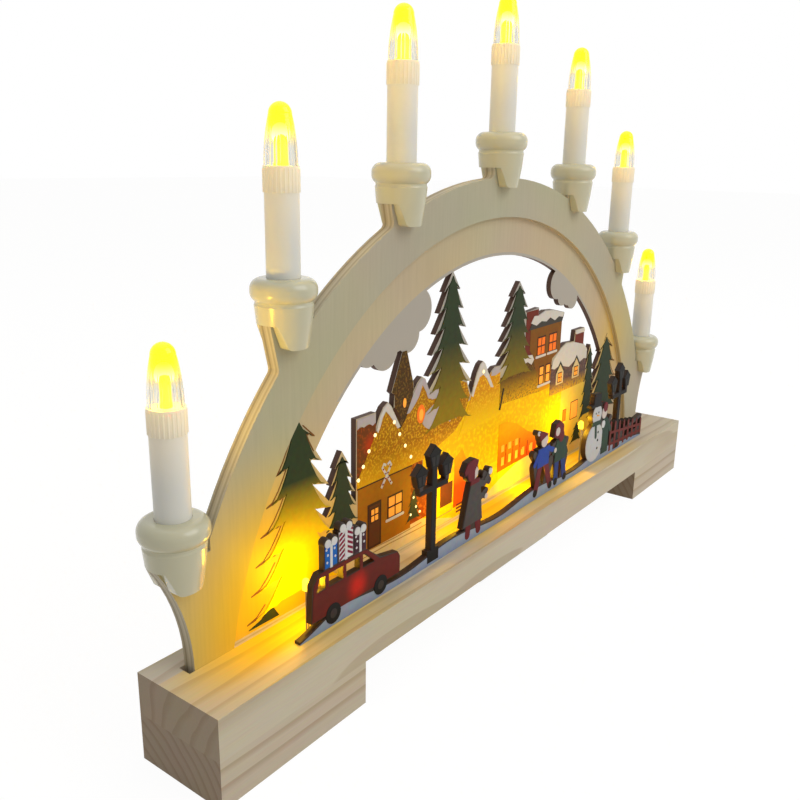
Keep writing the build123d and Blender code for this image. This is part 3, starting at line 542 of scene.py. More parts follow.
class Ink(Enum):
    """Inks of the printed village and figures."""

    SNOW = PrintFinish("snow_white_ink", "#D6D0C6")
    SNOW_WARM = PrintFinish("lamplit_snow_ink", "#DCC590")
    SNOW_LILAC = PrintFinish("shaded_snow_ink", "#B9AFAE")
    # FIR_LEFT, FIR_HIGH, GOLD_ROOF, GOLD_LIT, OCHRE_HOUSE, SLATE and VIOLET fade to painted lamp glow at
    # their feet.
    FIR_LEFT = PrintFinish("fir_green_left_ink_painted_glow", "#27361C", foot_colour="#F2CE00", fade_mm=(66.0, 96.0))
    FIR_HIGH = PrintFinish("fir_green_high_ink_painted_glow", "#2C3820", foot_colour="#8A7410", fade_mm=(102.0, 136.0))
    FIR = PrintFinish("fir_green_ink", "#2B3722")
    GOLD_ROOF = PrintFinish("gold_dust_ink_painted_glow", "#A96C02", dust_and_glow_speckle="#E2B01C", foot_colour="#E0A000",
                            fade_mm=(80.0, 92.0))
    GOLD_LIT = PrintFinish("lamplit_gold_ink", "#D58C00", dust_and_glow_speckle="#EFBE20", foot_colour="#F6CC00",
                           fade_mm=(86.0, 104.0))
    OCHRE_WALL = PrintFinish("ochre_wall_ink", "#A86602")
    OCHRE_HOUSE = PrintFinish("brown_ochre_ink_painted_glow", "#7E4E0C", foot_colour="#E0A000", fade_mm=(90.0, 104.0))
    # Lamp yellow: print colour and painted lamp glow on the board, with a brighter speckle of painted glow.
    YELLOW = PrintFinish("lamp_yellow_ink", "#F0BE00", dust_and_glow_speckle="#F8D800", dust_and_glow_speckle_mm=2.2)
    CREAM_WALL = PrintFinish("cream_wall_ink", "#E8C850")
    ORANGE_WALL = PrintFinish("orange_wall_ink", "#EFB000", foot_colour="#E04E00", fade_mm=(56.0, 76.0))
    RED_WALL = PrintFinish("brick_wall_ink", "#8A3606", dust_and_glow_speckle="#B86414", dust_and_glow_speckle_mm=2.0)
    CHIMNEY = PrintFinish("chimney_red_ink", "#6E2A1A")
    # The chimney's brighter round spot near its top is a painted glow.
    CHIMNEY_LIT = PrintFinish("chimney_brown_ink_painted_glow", "#6A3612", dust_and_glow_speckle="#9A4312", dust_and_glow_speckle_mm=1.8,
                              painted_glow_colour="#B83A10", painted_glow_centre_mm=(-104.0, 9.5, 99.0), painted_glow_radius_mm=7.0)
    SPIRE = PrintFinish("spire_brown_ink", "#452E0C", dust_and_glow_speckle="#77541A")
    SLATE = PrintFinish("slate_brown_ink_painted_glow", "#54390F", dust_and_glow_speckle="#7C5818", foot_colour="#E0A800",
                        fade_mm=(92.0, 106.0))
    VIOLET = PrintFinish("violet_slate_ink_painted_glow", "#5A4644", dust_and_glow_speckle="#76594C", dust_and_glow_speckle_mm=1.8, foot_colour="#E0B020",
                         fade_mm=(83.0, 92.0))
    EAVE = PrintFinish("eave_grey_ink", "#3E3A33")
    FRAME = PrintFinish("frame_brown_ink", "#40220F")
    DOOR = PrintFinish("door_brown_ink", "#5C3014")
    PANE = PrintFinish("lit_pane_ink", "#FFA53A", glow=0.35)
    PANE_DEEP = PrintFinish("deep_pane_ink", "#E8701E", glow=0.3)
    TWINKLE = PrintFinish("twinkle_ink", "#FFE9A6", glow=1.4)
    LINE = PrintFinish("engraved_line_ink", "#7C5126")
    GROUND_LINE = PrintFinish("ground_line_ink", "#A98650")
    # The car's red spot is painted glow from the LED behind the car.
    MAROON = PrintFinish("maroon_ink_painted_glow", "#642219", painted_glow_colour="#D0281A", painted_glow_centre_mm=(-138.8, -12.5, 50.0),
                         painted_glow_radius_mm=9.0)
    BLACK = PrintFinish("black_ink", "#1B1917")
    HUB = PrintFinish("hub_grey_ink", "#3D3431")
    GLASS = PrintFinish("lantern_glass_ink", "#2E2D2B")
    BLUE = PrintFinish("gift_blue_ink", "#1F62B4")
    STRIPE = PrintFinish("gift_red_ink", "#84233A")
    PLUM = PrintFinish("gift_plum_ink", "#40222B")
    WHITE = PrintFinish("ribbon_white_ink", "#D9D7D4")
    GREY_COAT = PrintFinish("grey_coat_ink", "#4E4845")
    SKIN = PrintFinish("skin_ink", "#D6C8BE")
    HAT = PrintFinish("dark_red_ink", "#6B252B")
    BLUE_COAT = PrintFinish("blue_coat_ink", "#2B479C")
    GREEN_COAT = PrintFinish("green_coat_ink", "#2F4235")
    NAVY = PrintFinish("navy_ink", "#2C3D76")
    SNOWMAN = PrintFinish("snowman_ink", "#C9C9C7")
    FENCE = PrintFinish("fence_red_ink", "#6E2D28")
    ICE = PrintFinish("ground_ice_ink", "#98A2B2", foot_colour="#8391AE", fade_mm=(38.0, 42.0))


PINE_BEAM = PineFinish("planed_pine_beam", "#CCC0A8", "#BEAE93", "#C6BAB0", 7.5, (-70.0, 8.0))
PINE_FOOT = PineFinish("planed_pine_foot", "#C8BBA3", "#B5A387", "#C2B6AC", 4.6, (44.0, -34.0), 1.6)
ARCH_PLY = PlywoodFinish(
    "whitewashed_plywood", "#B4AC91", "#AFA78D", "#BDB49C", "#A89E86", "#4A2F1B", 6.5, EdgeKind.BARE)
SCENE_PLY = PlywoodFinish("scene_plywood", "#C1B08E", "#BBAA89", "#B2A78E", "#94886F", "#43250F", 9.5,
                          EdgeKind.RING, cloud="#ADA69A")
STRIP_PLY = PlywoodFinish("figure_plywood", "#2C1A13", "#23140E", "#3A2418", "#25150D", "#22120B", -12.5,
                          EdgeKind.SCORCHED, pool_strength=0.0)
IVORY_CUP = PlasticFinish("ivory_abs", "#C8C4A6", roughness=0.22, coat=0.3, inside=0.08)
LAMP_LENS = LampFinish("warm_lamp_lens", "#FFD21E", 2.2)
SCENE_LENS = LampFinish("warm_scene_lens", "#FFCE2E", 3.0, heads_mm=((-165.3, 57.5), (-47.7, 53.4),
                                                                     (28.0, 41.4), (83.7, 63.6)))
WHITE_SLEEVE = PlasticFinish("white_pvc_sleeve", "#D9D5C8", roughness=0.45)
BUFF_SLEEVE = PlasticFinish("buff_pvc_sleeve", "#CBB98E", roughness=0.45)
BOX_ABS = PlasticFinish("moulded_ivory_abs", "#D8D3C4", roughness=0.5)
SOCKET_ABS = PlasticFinish("white_socket_abs", "#DEDCD6", roughness=0.45)
SWITCH_ABS = PlasticFinish("black_switch_abs", "#1A1A1A", roughness=0.4)
CELL_WRAP = PlasticFinish("dark_cell_wrap", "#39424D", roughness=0.25)
CIRCUIT_MASK = PlasticFinish("green_solder_mask", "#1F5A35", roughness=0.35)
NICKEL = MetalFinish("nickel_strip", "#C9C7C0", 0.32)
ZINC = MetalFinish("zinc_plated_screw", "#B9BABA", 0.38)
BEECH = PineFinish("beech_dowel", "#D3B98F", "#C2A478", "#C8BBAA", 2.4, (-20.0, -10.0))


def deselect() -> None:
    """Deselects every object."""
    bpy.ops.object.select_all(action="DESELECT")


def activate(*objects: Object) -> Object:
    """Selects these objects alone and makes the first one active.

    Args:
        objects: Objects to select.

    Returns:
        The first object.
    """
    deselect()
    for obj in objects:
        obj.select_set(True)
    bpy.context.view_layer.objects.active = objects[0]
    return objects[0]


def join(name: str, objects: list[Object]) -> Object:
    """Joins objects into one piece.

    Args:
        name: Name of the piece.
        objects: Objects to join.

    Returns:
        The joined piece.
    """
    piece = activate(*objects)
    if len(objects) > 1:
        bpy.ops.object.join()
    piece.name = name
    piece.data.name = name
    return piece


def dress_node(node: str, material: Material) -> Object:
    """Gives a CAD node its material.

    Args:
        node: Name of the node.
        material: Material for all of it.

    Returns:
        The node's object.
    """
    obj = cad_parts[node]
    obj.data.materials.clear()
    obj.data.materials.append(material)
    LOG.info("dressed %s with %s", node, material.name)
    return obj


def add_lamp(name: str, place: Iterable[float], watts: float, colour: str, radius_mm: float) -> None:
    """Adds a small round lamp.

    Args:
        name: Name of the lamp.
        place: Place in metres.
        watts: Power.
        colour: Hex colour of the light.
        radius_mm: Radius of the lamp.
    """
    deselect()
    bpy.ops.object.light_add(type="POINT", location=place)
    lamp = bpy.context.object
    lamp.name = name
    lamp.data.energy = watts
    lamp.data.color = linear(colour)[:3]
    lamp.data.shadow_soft_size = radius_mm * MM


def rectangle(left: float, low: float, right: float, high: float) -> Outline:
    """Corners of an upright rectangle."""
    return [(left, low), (right, low), (right, high), (left, high)]


def oval(x: float, z: float, half_width: float, half_height: float, count: int = 16) -> Outline:
    """Points round an oval."""
    turns = [2 * math.pi * i / count for i in range(count)]
    return [(x + half_width * math.cos(t), z + half_height * math.sin(t)) for t in turns]


def capsule(x0: float, z0: float, x1: float, z1: float, width: float, count: int = 6) -> Outline:
    """Outline of a round-ended bar.

    Args:
        x0: Start across.
        z0: Start height.
        x1: End across.
        z1: End height.
        width: Width of the bar.
        count: Steps in each round end.

    Returns:
        The outline's points.
    """
    along = math.atan2(z1 - z0, x1 - x0)
    half = width / 2
    points = []
    for x, z, start in ((x1, z1, along - math.pi / 2), (x0, z0, along + math.pi / 2)):
        for i in range(count + 1):
            turn = start + math.pi * i / count
            points.append((x + half * math.cos(turn), z + half * math.sin(turn)))
    return points


SHORTEST = 1e-6
SHARPEST_SHARE = 0.45


def inset(outline: Outline, margin: float) -> Outline:
    """Moves an outline's sides inwards.

    Args:
        outline: Points round a plain shape.
        margin: Distance in mm.

    Returns:
        The smaller outline.
    """
    points = counter_clockwise(outline)
    moved = []
    for i, (x, z) in enumerate(points):
        before = Vector(points[i - 1])
        after = Vector(points[(i + 1) % len(points)])
        here = Vector((x, z))
        first = (here - before).normalized()
        second = (after - here).normalized()
        normal = Vector((-first.y - second.y, first.x + second.x))
        if normal.length < SHORTEST:
            normal = Vector((-first.y, first.x))
        normal.normalize()
        reach = margin / max(SHARPEST_SHARE, normal.dot(Vector((-first.y, first.x))))
        moved.append((x + normal.x * reach, z + normal.y * reach))
    return moved


def counter_clockwise(outline: Outline) -> Outline:
    """The same outline with its points in counter-clockwise order."""
    area = sum(x0 * z1 - x1 * z0 for (x0, z0), (x1, z1) in zip(outline, outline[1:] + outline[:1]))
    return outline if area > 0 else outline[::-1]


def ribbon(path: Outline, width: float) -> Outline:
    """Outline of a thin line along a path.

    Args:
        path: Points of the path.
        width: Width of the line.

    Returns:
        The outline's points.
    """
    left, right = [], []
    for i, point in enumerate(path):
        before = Vector(path[max(i - 1, 0)])
        after = Vector(path[min(i + 1, len(path) - 1)])
        way = (after - before).normalized()
        side = Vector((-way.y, way.x)) * width / 2
        left.append((point[0] + side.x, point[1] + side.y))
        right.append((point[0] - side.x, point[1] - side.y))
    return left + right[::-1]


BOUGH_FULLNESS = 0.6
BOUGH_STEEPNESS = 1.6
BOUGH_SHARES = (0.2, 0.45, 0.72)
TOP_BOUGH_SHARES = (0.3,)
UNDERSIDE_SHARES = ((1.0, 0.05), (0.86, 0.09), (0.7, 0.2), (0.58, 0.17))
NOTCH_SHARES = (0.46, 0.28)


def fir_outline(axis: float, tip: float, foot: float, reach: float, tiers: int,
                bare: float = 0.0) -> Outline:
    """Outline of a fir whose boughs leave the trunk steeply and flatten towards their ends.

    Args:
        axis: Place across.
        tip: Height of the tip.
        foot: Height of the lowest tier.
        reach: Half width of the lowest tier.
        tiers: Number of tiers.
        bare: Height left bare at the tip.

    Returns:
        The outline's points.
    """
    drop = (tip - foot) / tiers
    side: Outline = []
    inner, top = 0.0, tip - bare
    for tier in range(1, tiers + 1):
        half = reach * (tier / tiers) ** BOUGH_FULLNESS
        level = tip - tier * drop
        for share in BOUGH_SHARES if tier > 1 else TOP_BOUGH_SHARES:
            fall = 1 - (1 - share) ** BOUGH_STEEPNESS
            side.append((inner + (half - inner) * share, top - (top - level) * fall))
        side += [(half * out, level + drop * up) for out, up in UNDERSIDE_SHARES]
        inner, top = half * NOTCH_SHARES[0], level + drop * NOTCH_SHARES[1]
        side.append((inner, top))
    right = [(axis + half, level) for half, level in side]
    left = [(axis - half, level) for half, level in side]
    return [(axis, tip - bare), *left, *reversed(right)]


@dataclass
class PrintSheet:
    """A print on a board's front face: thin patches of ink, one piece for each ink."""

    name: str
    face_mm: float
    slot: str
    step_mm: float = 0.08
    lift_mm: float = 0.0001
    count: int = 0
    patches: dict[Ink, dict[int, list[Outline]]] = field(
        default_factory=lambda: defaultdict(lambda: defaultdict(list)))

    def add(self, ink: Ink, layer: int, *outlines: Outline) -> None:
        """Adds patches of one ink on one layer."""
        self.patches[ink][layer].extend(counter_clockwise(list(outline)) for outline in outlines)

    def build(self) -> list[Object]:
        """Models the patches and joins those of one ink.

        Returns:
            One piece for each ink.
        """
        pieces = []
        for ink, layers in self.patches.items():
            sheets = [self._layer(layer, outlines) for layer, outlines in layers.items()]
            piece = join(f"{self.name}_{ink.value.name}", sheets)
            piece.data.materials.clear()
            piece.data.materials.append(ink.value.material())
            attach(piece, "base")
            pieces.append(piece)
            LOG.info("printed %s", piece.name)
        return pieces

    def _layer(self, layer: int, outlines: list[Outline]) -> Object:
        """Makes the patches of one layer, from the board's face outwards.

        Args:
            layer: Number of the layer, from 1.
            outlines: Outlines of the patches.

        Returns:
            The joined patches.
        """
        depth = layer * self.step_mm
        flats = []
        for outline in outlines:
            deselect()
            bpy.ops.mesh.primitive_circle_add(vertices=len(outline), radius=MM, fill_type="NGON")
            flat = bpy.context.object
            self.count += 1
            front = self.face_mm - depth - self.count * self.lift_mm
            for vertex, (x, z) in zip(flat.data.vertices, outline):
                vertex.co = (x * MM, front * MM, z * MM)
            flats.append(flat)
        sheet = join(f"{self.name}_layer", flats)
        bpy.ops.object.mode_set(mode="EDIT")
        bpy.ops.mesh.select_all(action="SELECT")
        bpy.ops.mesh.extrude_region_move(TRANSFORM_OT_translate={"value": (0, depth * MM, 0)})
        bpy.ops.mesh.select_all(action="SELECT")
        bpy.ops.mesh.normals_make_consistent(inside=False)
        bpy.ops.object.mode_set(mode="OBJECT")
        return sheet


@dataclass
class VillagePrint:
    """The winter village printed on the scene board."""

    sheet: PrintSheet = field(default_factory=lambda: PrintSheet("village", 9.5, "scene_plywood"))
    ring_radius: float = 175.0
    window_radius: float = 195.0
    ring_centre: float = 1.0

    def draw(self) -> None:
        """Draws the whole village from the ground up."""
        self._ground()
        self._left_house()
        self._spire_and_gable()
        self._middle()
        self._right_houses()
        self._firs()
        self._ring_lines()

    def _window(self, box: Quad, layer: int, columns: int, rows: int,
                pane: Ink = Ink.PANE, bar: float = 0.9, sill: bool = False) -> None:
        """Draws a lit window with a dark frame.

        Args:
            box: Left, low, right and high sides.
            layer: Layer of the frame.
            columns: Panes across.
            rows: Panes up.
            pane: Ink of the panes.
            bar: Width of the bars.
            sill: Whether snow lies on the sill.
        """
        left, low, right, high = box
        self.sheet.add(Ink.FRAME, layer, rectangle(*box))
        wide = (right - left - bar * (columns + 1)) / columns
        tall = (high - low - bar * (rows + 1)) / rows
        for column in range(columns):
            for row in range(rows):
                x = left + bar + column * (wide + bar)
                z = low + bar + row * (tall + bar)
                self.sheet.add(pane, layer + 1, rectangle(x, z, x + wide, z + tall))
        if sill:
            self.sheet.add(Ink.SNOW, layer + 1, capsule(left - 0.6, low - 0.4, right + 0.6, low - 0.4, 1.5))

    def _ground(self) -> None:
        """Draws the snow and the lit street."""
        left_snow = [
            (-128, 38.3), (-28, 38.3), (-33, 47.6), (-48, 48), (-70, 48.6), (-90, 47.2), (-110, 46),
            (-121, 45)]
        self.sheet.add(Ink.SNOW_WARM, 1, left_snow)
        for path in (
            [(-112, 43.6), (-90, 43.9), (-64, 43.2), (-34, 43.4)],
            [(-104, 46.2), (-84, 45.4), (-62, 45.8)],
        ):
            self.sheet.add(Ink.GROUND_LINE, 2, ribbon(path, 0.5))
        self.sheet.add(Ink.SNOW_WARM, 2, [
            (-10, 38.3), (150, 38.3), (150, 50), (132, 48), (112, 47), (86, 50), (58, 52.5), (36, 51),
            (15, 46), (2, 41.5)])
        self.sheet.add(Ink.YELLOW, 1, [
            (-33, 38.3), (8, 38.3), (30, 44), (121, 44), (121, 79), (112, 86), (70, 92), (56, 96),
            (20, 106), (8, 104), (2, 103), (-9, 112), (-19, 102), (-34, 98), (-62, 84), (-62, 48)])

    def _left_house(self) -> None:
        """Draws the house with the gold roof, its chimney, door and window."""
        self.sheet.add(Ink.OCHRE_WALL, 2, rectangle(-112.6, 46.3, -71.8, 80))
        self.sheet.add(Ink.GOLD_ROOF, 3, [
            (-113.3, 79.6), (-113.2, 83), (-99.4, 104), (-97.2, 109.6), (-94.2, 113.8), (-91, 115.4),
            (-88.6, 112.6), (-86, 108.6), (-71, 81), (-71, 79.6)])
        self.sheet.add(Ink.FRAME, 4, rectangle(-113.2, 79.2, -71.5, 79.9))
        self.sheet.add(Ink.CHIMNEY_LIT, 2, [(-113.2, 82), (-99.9, 100), (-99.9, 108.6), (-113.2, 108.6)])
        self.sheet.add(Ink.SNOW_LILAC, 4, [
            (-113.2, 108), (-111, 109.4), (-108.6, 108.2), (-105, 109.2), (-102.4, 107.6), (-100.2, 108.6),
            (-100.2, 112.7), (-113.2, 112.7)])
        self.sheet.add(Ink.SNOW, 4, [
            (-99.3, 104.4), (-97.2, 110), (-94.4, 114), (-91, 115.7), (-88.6, 113.2), (-85.4, 108.4),
            (-81.4, 102), (-83.6, 101.6), (-87.4, 106.6), (-90.4, 110), (-92.8, 112.2), (-95, 109.6),
            (-96.8, 105.4), (-98.4, 103)])
        self._window((-105.6, 46.6, -95.4, 69.4), 3, 1, 1, Ink.DOOR, 1.2)
        self._window((-103.8, 59.4, -97.2, 67), 5, 2, 2, Ink.PANE, 0.8)
        self._window((-90.6, 57, -78.6, 69), 3, 2, 2, Ink.PANE, 1.0, True)
        for x, z in [
            (-112.4, 84), (-109, 89.6), (-105, 96), (-100.6, 102.6), (-86.4, 105.4), (-82, 98.4),
            (-77.4, 91.4), (-72.6, 84.4),
        ]:
            self.sheet.add(Ink.TWINKLE, 6, oval(x, z, 0.9, 0.9, 10))
        for side in (-1, 1):
            stem = [
                (-91.6 - side * 4, 75), (-91.6, 80.4), (-91.6 + side * 3.4, 85), (-91.6 + side * 2.2, 86.6),
                (-91.6 + side * 0.6, 85.6)]
            self.sheet.add(Ink.WHITE, 5, ribbon(stem, 1.3))
            for share in (0.15, 0.4, 0.65, 0.9):
                start, end = Vector(stem[0]), Vector(stem[2])
                spot = start.lerp(end, share)
                self.sheet.add(Ink.STRIPE, 6, oval(spot.x, spot.y, 0.6, 0.45, 8))

    def _spire_and_gable(self) -> None:
        """Draws the spire, the small gable behind it and the low roof under snow."""
        self.sheet.add(Ink.SPIRE, 2, [
            (-85.8, 108), (-85.9, 118.2), (-88, 120.2), (-80.4, 138.2), (-77.1, 138.2), (-71.3, 120.3),
            (-71.7, 116.6), (-74, 98), (-81, 98)])
        self.sheet.add(Ink.FRAME, 5, ribbon([(-86.6, 112), (-84.4, 109.4), (-81.2, 105.4)], 1.5))
        self.sheet.add(Ink.PANE, 3, oval(-78.2, 113, 1.3, 2.4, 12))
        self.sheet.add(Ink.GOLD_ROOF, 3, [
            (-86, 96), (-77, 105), (-71, 115.4), (-67.8, 119.8), (-64.6, 122), (-61.6, 120.2),
            (-57.8, 113.2), (-50, 113.8), (-31, 114.8), (-24.4, 112.2), (-20.6, 104.4), (-26, 94),
            (-34, 88), (-62, 80), (-72, 80)])
        self.sheet.add(Ink.SNOW_LILAC, 4, [
            (-64.6, 122.7), (-68, 120.2), (-71, 116.6), (-76.5, 107), (-74, 107.2), (-70, 110.5),
            (-67, 113.4), (-64, 119), (-60.8, 114.6), (-59, 111), (-55.4, 110.2), (-57.8, 114),
            (-61.6, 121)])
        self.sheet.add(Ink.SNOW_LILAC, 4, [(-56, 109.8), (-50.2, 109.6), (-50.2, 114.2), (-57, 113.9)])
        self.sheet.add(Ink.PANE_DEEP, 4, oval(-64.8, 104.4, 3.4, 4.8, 14))
        self.sheet.add(Ink.PANE, 5, oval(-64.8, 104, 1.8, 3.0, 12))
        self.sheet.add(Ink.SNOW_LILAC, 5, [
            (-63.4, 99), (-61, 104), (-54, 107), (-45, 108.2), (-37, 107), (-34.4, 103), (-33.4, 94.6),
            (-36, 97.4), (-39.4, 94.4), (-43.4, 97.4), (-47.6, 95), (-52.4, 98.2), (-57.4, 94.6),
            (-61, 96.6)])

    def _middle(self) -> None:
        """Draws the lit gable, the brick wall, the small tree and the bench in the middle."""
        self.sheet.add(Ink.GOLD_LIT, 3, [
            (-30, 84), (-19, 103.4), (-17, 109), (-14.2, 114.8), (-11.2, 119), (-8.6, 120.4), (-6, 118.4),
            (-3.1, 113.5), (-1.1, 111.2), (0.4, 113), (4, 114.8), (10, 114.4), (10, 86)])
        self.sheet.add(Ink.SNOW, 4, [
            (-19, 103.8), (-16.9, 109.2), (-14.2, 115), (-11.3, 119.2), (-8.6, 120.6), (-6, 118.6),
            (-3, 113.6), (-0.6, 110), (3.4, 104), (0.4, 104.6), (-4, 110.4), (-8, 113.4), (-11.6, 112.6),
            (-15.4, 107), (-17.4, 102.8)])
        self.sheet.add(Ink.TWINKLE, 6, oval(-8, 115, 0.9, 0.9, 10))
        self.sheet.add(Ink.SNOW_LILAC, 4, [
            (0.2, 111), (0.6, 113.2), (4, 114.9), (10.2, 114.5), (10.2, 111.6), (5, 110.4)])
        self.sheet.add(Ink.BLACK, 6, ribbon([(11.2, 89), (12.4, 93), (13.4, 98), (14.6, 101)], 1.2))
        self.sheet.add(Ink.RED_WALL, 2, rectangle(-72, 48, -62.4, 80), rectangle(-62.4, 48, -50, 72))
        self.sheet.add(Ink.DOOR, 3, rectangle(-45.6, 48, -34.4, 60.4))
        self.sheet.add(Ink.ORANGE_WALL, 2, [(-33, 44), (-18, 44), (-18, 64), (-26, 76), (-33, 72)])
        self.sheet.add(Ink.FIR, 4, fir_outline(-69.4, 66.4, 49.4, 6.6, 4))
        for x, z in ((-69.6, 62), (-67.4, 56.4), (-71.8, 53.4), (-64, 52.6)):
            self.sheet.add(Ink.TWINKLE, 5, oval(x, z, 0.7, 0.7, 8))
        for level in (40.2, 42.2, 44.2):
            self.sheet.add(Ink.CHIMNEY, 3, rectangle(-30, level, -17, level + 1.1))

    def _right_houses(self) -> None:
        """Draws the houses on the right, from the red row to the dormers."""
        sheet = self.sheet
        sheet.add(Ink.SLATE, 3, [
            (10.8, 92), (58, 90), (47.4, 114.6), (36.2, 115.4), (30.6, 113.7), (25.4, 107.6),
            (10.8, 107.6)])
        sheet.add(Ink.CHIMNEY, 2, rectangle(37.1, 112, 51.2, 141.2))
        sheet.add(Ink.OCHRE_HOUSE, 3, [
            (42.6, 118), (42.6, 132), (81.9, 132), (81.9, 112), (72, 108), (70.4, 90), (58, 90), (47, 114)])
        sheet.add(Ink.EAVE, 4, [(40.4, 130), (82, 130), (84.4, 134.8), (66, 136), (44, 134.4)])
        sheet.add(Ink.SNOW, 5, [
            (42.4, 134), (46, 137.8), (51.8, 137.4), (59.5, 139.1), (70, 138.2), (84.3, 134.9), (82, 132.6),
            (77, 133.6), (72, 131.8), (66, 134.4), (61, 132.6), (55, 133.6), (49, 131.8)])
        self._window((51.6, 112.6, 61.8, 124.4), 4, 2, 2, Ink.PANE_DEEP, 0.9, True)
        self._window((66, 112.6, 76.4, 124.4), 4, 2, 2, Ink.PANE_DEEP, 0.9, True)
        self._window((55.8, 94, 61.8, 106), 4, 1, 2, Ink.PANE, 0.9, True)
        self._window((64, 94, 70, 106), 4, 1, 2, Ink.PANE, 0.9, True)
        sheet.add(Ink.SNOW, 5, [
            (25.8, 108.4), (27.4, 113), (31, 114.2), (36, 115.6), (46, 114.8), (48.4, 111.6), (45.6, 109),
            (41, 111.4), (36, 110.8), (30.6, 107.8)])
        sheet.add(Ink.VIOLET, 4, rectangle(71.4, 84, 121, 104))
        sheet.add(Ink.CHIMNEY, 3, rectangle(102.8, 106, 115.1, 119))
        sheet.add(Ink.SNOW, 6, capsule(103.6, 119.6, 114.4, 119.6, 2.4))
        sheet.add(Ink.SNOW, 5, [
            (71.8, 101.6), (73.6, 106.4), (82, 111.8), (90.1, 114.5), (101.5, 113.6), (115, 110.2),
            (121.2, 105.8), (121.2, 99.6), (117, 100.4), (111, 98.8), (104, 101.4), (96, 98.4), (90, 99.8),
            (83, 101.8), (76, 100.4)])
        for x in (83.6, 106.2):
            sheet.add(Ink.EAVE, 6, [
                (x - 6.2, 97.6), (x, 104.4), (x + 6.2, 97.6), (x + 4.8, 97), (x, 102.4), (x - 4.8, 97)])
            sheet.add(Ink.SNOW_WARM, 6, [
                (x - 4.8, 89.6), (x + 4.8, 89.6), (x + 4.8, 97), (x, 102.3), (x - 4.8, 97)])
            self._window((x - 2.8, 90.6, x + 2.8, 97.2), 7, 2, 2, Ink.PANE, 0.6)
        sheet.add(Ink.CREAM_WALL, 2, rectangle(88, 46, 121, 85))
        self._window((103, 61, 113.4, 73.4), 3, 1, 1, Ink.PANE, 0.6)
        self._window((92, 62.4, 97, 70.4), 3, 1, 1, Ink.PANE_DEEP, 0.5)
        sheet.add(Ink.ORANGE_WALL, 3, [
            (12, 51), (58, 52), (58, 63), (46, 68), (32, 76), (20, 80), (12, 80)])
        for x in (16, 24, 32, 40, 50):
            upper = rectangle(x - 0.5, 62.4, x + 2.6, 66.4)
            beside = rectangle(x - 1, 54.6, x + 0.4, 58)
            sheet.add(Ink.PANE, 4, rectangle(x, 54, x + 3, 59), upper if x < 40 else beside)
        for x in (20.4, 28.4, 36.4, 46):
            sheet.add(Ink.RED_WALL, 4, rectangle(x, 52.4, x + 1.0, 66 if x < 40 else 62))

    def _firs(self) -> None:
        """Draws the firs inside their sawn outlines, with a snowy margin left bare."""
        for ink, axis, tip, foot, reach, tiers in [
            (Ink.FIR_HIGH, -40.2, 172.4, 92.4, 21.6, 8),
            (Ink.FIR_HIGH, 27.1, 160.4, 104.4, 20.0, 7),
            (Ink.FIR, 126.9, 108.3, 57.9, 10.6, 6),
            (Ink.FIR, 152.3, 112.0, 56.0, 23.4, 5),
            (Ink.FIR_LEFT, -150.4, 124.2, 42.0, 26.4, 7),
            (Ink.FIR, -123.4, 101.4, 65.5, 10.8, 5),
        ]:
            self.sheet.add(ink, 6, fir_outline(axis, tip, foot, reach, tiers, 3.0))
        self.sheet.add(Ink.FIR, 6, [(-181, 39.6), (-174, 41.4), (-169.6, 45.4), (-167, 44), (-164, 39.4)])
        self.sheet.add(Ink.FIR, 5, fir_outline(114, 57, 43.4, 8.6, 3))

    def _ring_lines(self) -> None:
        """Draws the engraved branch outlines where the outer firs reach over the ring."""
        for axis, tip, foot, reach, tiers in [
            (-150.5, 123.8, 41.5, 31.0, 7), (152.3, 111.5, 55.5, 28.6, 5),
        ]:
            outline = fir_outline(axis, tip, foot, reach, tiers)
            for start, end in zip(outline, outline[1:]):
                radii = [math.hypot(x, z - self.ring_centre) for x, z in (start, end)]
                if self.ring_radius + 1 < min(radii) and max(radii) < self.window_radius - 1:
                    self.sheet.add(Ink.LINE, 1, capsule(*start, *end, 0.6, 3))


